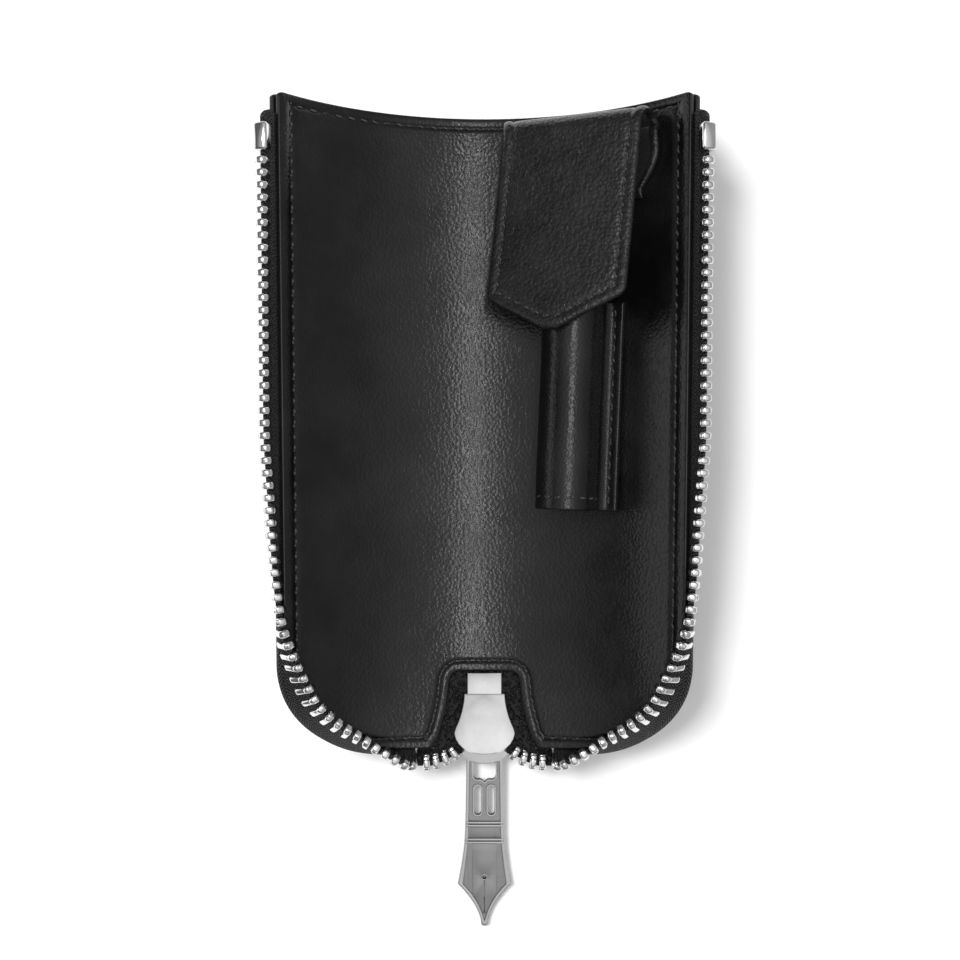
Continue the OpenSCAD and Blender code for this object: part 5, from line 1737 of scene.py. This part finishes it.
def metal(name, base, rough, scratch_depth, smudge_gain, grainy=0.0, grain_scale=3000):
    made, wires, shader = start_material(name, base, rough, Metallic=1.0)
    place = place_of(wires, False)
    marks = use_group(wires, scratches, Place=place)
    specks = use_group(wires, dust, Place=place, Amount=0.3)
    low = tuple(v * 0.9 for v in base) + (1,)
    tone = wires.mix(wires.span(marks.outputs["Smudge"], 0.35, 0.7), low, (*base, 1))
    wires.join(wires.mix(specks.outputs["Mask"], tone, DUST_ON_METAL), shader.inputs["Base Color"])
    polish = wires.span(marks.outputs["Smudge"], 0.3, 0.75,
                        max(SMOOTHEST, rough - smudge_gain), rough + smudge_gain)
    wires.join(polish, shader.inputs["Roughness"])
    height = marks.outputs["Height"]
    if grainy:
        blast = wires.noise(place, grain_scale, 3, 0.7)
        height = wires.math("ADD", height, wires.math("MULTIPLY", blast, grainy))
    bump(wires, shader, height, scratch_depth)
    return made


chrome = metal("chrome_teeth", (0.88, 0.88, 0.885), 0.16, 0.000002, 0.04)
stop_chrome = metal("chrome_stops", (0.82, 0.82, 0.825), 0.10, 0.000002, 0.03)
slider_chrome = metal("polished_slider", (0.93, 0.93, 0.935), 0.16, 0.000003, 0.04, 0.3)
satin_field = metal("satin_field", (0.47, 0.47, 0.475), 0.40, 0.000012, 0.05, 1.2, 2600)
rim_metal = metal("bright_rim", (0.66, 0.66, 0.665), 0.26, 0.000004, 0.05, 0.4)
blasted = metal("blasted_panel", (0.50, 0.50, 0.505), 0.48, 0.000025, 0.05, 2.5, 3600)
# Painted shade: a dark metal for the puller's upright walls, standing in for the shade there.
shaded_wall_metal = metal("painted_shade_wall", (0.13, 0.13, 0.132), 0.42, 0.00001, 0.05)
print("materials in all:", len(bpy.data.materials))

# %% [markdown]
# Each face of a piece carries a number, and the number picks its material from the piece's
# list. The nodes that the model brings along get one material each.

# %% Put the materials on the pieces
def dress(obj, *materials):
    """Gives a piece its materials and keeps each face's number."""
    kinds = np.empty(len(obj.data.polygons), np.int32)
    obj.data.polygons.foreach_get("material_index", kinds)
    obj.data.materials.clear()
    for made in materials:
        obj.data.materials.append(made)
    obj.data.polygons.foreach_set("material_index", np.minimum(kinds, len(materials) - 1))


pieces = bpy.data.objects
for obj in linings:
    dress(obj, lining_leather, edge_paint)
for obj in shells:
    dress(obj, shell_leather, edge_paint)
for word in ("left", "right"):
    dress(pieces["border_stitches_" + word], thread)
    dress(pieces["woven_tape_" + word], tape_cloth)
    dress(pieces["cut_out_tape_" + word], knit)
    dress(pieces["teeth_row_" + word], chrome)
    dress(pieces["first_teeth_" + word], chrome)
    dress(pieces["stop_bar_" + word], stop_chrome)
dress(pieces["slider_face"], slider_chrome)
dress(pieces["slider_back_plate"], rim_metal)
dress(puller, satin_field, rim_metal, blasted, shaded_wall_metal)
dress(pieces["pen_sleeve_leather"], sleeve_leather)
dress(pieces["sleeve_stitches"], thread)
dress(flap, flap_leather, suede)
dress(flap_stitches, thread)
carried = {"cover_board_left": board_card, "cover_board_right": board_card, "spine_board": board_card,
           "closed_teeth": chrome, "teeth_in_slider": chrome, "bottom_stop": stop_chrome,
           "slider_wedge": slider_chrome, "slider_bridge": rim_metal}
for node, made in carried.items():
    obj = frame["nodes"][node]
    obj.data.materials.clear()
    obj.data.materials.append(made)
print("carried nodes with a finish:", len(carried))

# %% [markdown]
# ## Table and light
#
# The table is a pale, slightly uneven sheet. It glows a little, but only toward the camera and
# toward what mirrors it, so it looks white and still shows the case's shadow.

# %% Table
TABLE_GLOW = 0.10
bm = bmesh.new()
bmesh.ops.create_grid(bm, x_segments=40, y_segments=40, size=1.0)
mesh = bpy.data.meshes.new("table_top")
bm.to_mesh(mesh)
bm.free()
table_top = bpy.data.objects.new("table_top", mesh)
bpy.context.scene.collection.objects.link(table_top)
table_top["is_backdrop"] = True
table_white, wires, shader = start_material("pale_table", (0.93, 0.93, 0.93), 0.9, Specular_IOR_Level=0.1)
tint = wires.noise(place_of(wires, False), 30, 3, 0.5)
wires.join(wires.mix(tint, (0.925, 0.925, 0.925, 1), (0.94, 0.94, 0.94, 1)), shader.inputs["Base Color"])
rays = wires.node("LightPath")
seen = wires.math("MAXIMUM", rays.outputs["Is Camera Ray"],
                  wires.math("MAXIMUM", rays.outputs["Is Glossy Ray"], rays.outputs["Is Transmission Ray"]))
glow = wires.math("MULTIPLY", seen, TABLE_GLOW)
shader.inputs["Emission Color"].default_value = (1, 1, 1, 1)
wires.join(glow, shader.inputs["Emission Strength"])
table_top.data.materials.append(table_white)
print("table faces:", len(mesh.polygons))

# %% [markdown]
# The room is white to the camera. To the case it is dim all round, brighter straight above and
# toward the right, with a bright band at the far left that outlines the bent leather.

# %% World
world = bpy.data.worlds.new("studio")
bpy.context.scene.world = world
world.use_nodes = True
wires = Wires(world.node_tree)
ways = wires.node("SeparateXYZ")
wires.join(wires.node("TexCoord").outputs["Generated"], ways.inputs[0])
dome = wires.span(ways.outputs["Z"], 0.6, 0.97, 0.0, 0.66)
walls = wires.span(ways.outputs["X"], -0.6, 0.8, 0.12, 0.36)
rim_glow = wires.span(ways.outputs["X"], -0.86, -0.93, 0.0, 1.1)
sky = world.node_tree.nodes["Background"]
sky.inputs["Color"].default_value = (1, 1, 1, 1)
light_level = wires.math("ADD", wires.math("ADD", dome, walls), rim_glow)
to_camera = wires.node("LightPath").outputs["Is Camera Ray"]
wires.join(wires.math("MAXIMUM", light_level, to_camera), sky.inputs["Strength"])
print("world nodes:", len(world.node_tree.nodes))

# %% [markdown]
# Three panels light the pieces, and light linking says which of them each panel reaches: a soft
# key from the upper left for the metal and the table, so shadows fall to the right, a narrow
# long panel above the case for leather and cloth, and a wide one for the teeth and the stops.
# One lamp for all would be simpler, but black leather and bright metal need different ones.

# %% Lamps
def panel(name, at, toward, width, height, power):
    """A soft rectangular lamp that points at a place."""
    lamp = bpy.data.lights.new(name, "AREA")
    lamp.shape = "RECTANGLE"
    lamp.size, lamp.size_y = width, height
    lamp.energy = power
    obj = bpy.data.objects.new(name, lamp)
    obj.location = at
    obj.rotation_euler = (Vector(toward) - Vector(at)).to_track_quat("-Z", "Y").to_euler()
    bpy.context.scene.collection.objects.link(obj)
    return obj


key = panel("key_panel", (-0.42, 0.30, 1.0), (0, 0, 0.01), 0.34, 0.34, 10)
key.visible_glossy = False
overhead = panel("overhead_panel", (0.08, 0.08, 1.0), (0.08, 0.08, 0), 0.055, 0.75, 2.1)
soft_pieces, hard_pieces = (bpy.data.collections.new(name)
                            for name in ("leather_and_cloth", "metal_and_table"))
SOFT = {lining_leather, shell_leather, sleeve_leather, flap_leather, edge_paint, suede, thread,
        tape_cloth, knit}
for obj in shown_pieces() + [table_top]:
    (soft_pieces if SOFT & set(obj.data.materials) else hard_pieces).objects.link(obj)
overhead.light_linking.receiver_collection = soft_pieces
key.light_linking.receiver_collection = hard_pieces
teeth_light = panel("teeth_panel", (-0.25, 0.25, 0.9), (0, 0, 0.02), 0.5, 0.5, 3.2)
bright_teeth = bpy.data.collections.new("teeth_and_stops")
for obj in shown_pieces():
    if {chrome, stop_chrome} & set(obj.data.materials):
        bright_teeth.objects.link(obj)
teeth_light.light_linking.receiver_collection = bright_teeth
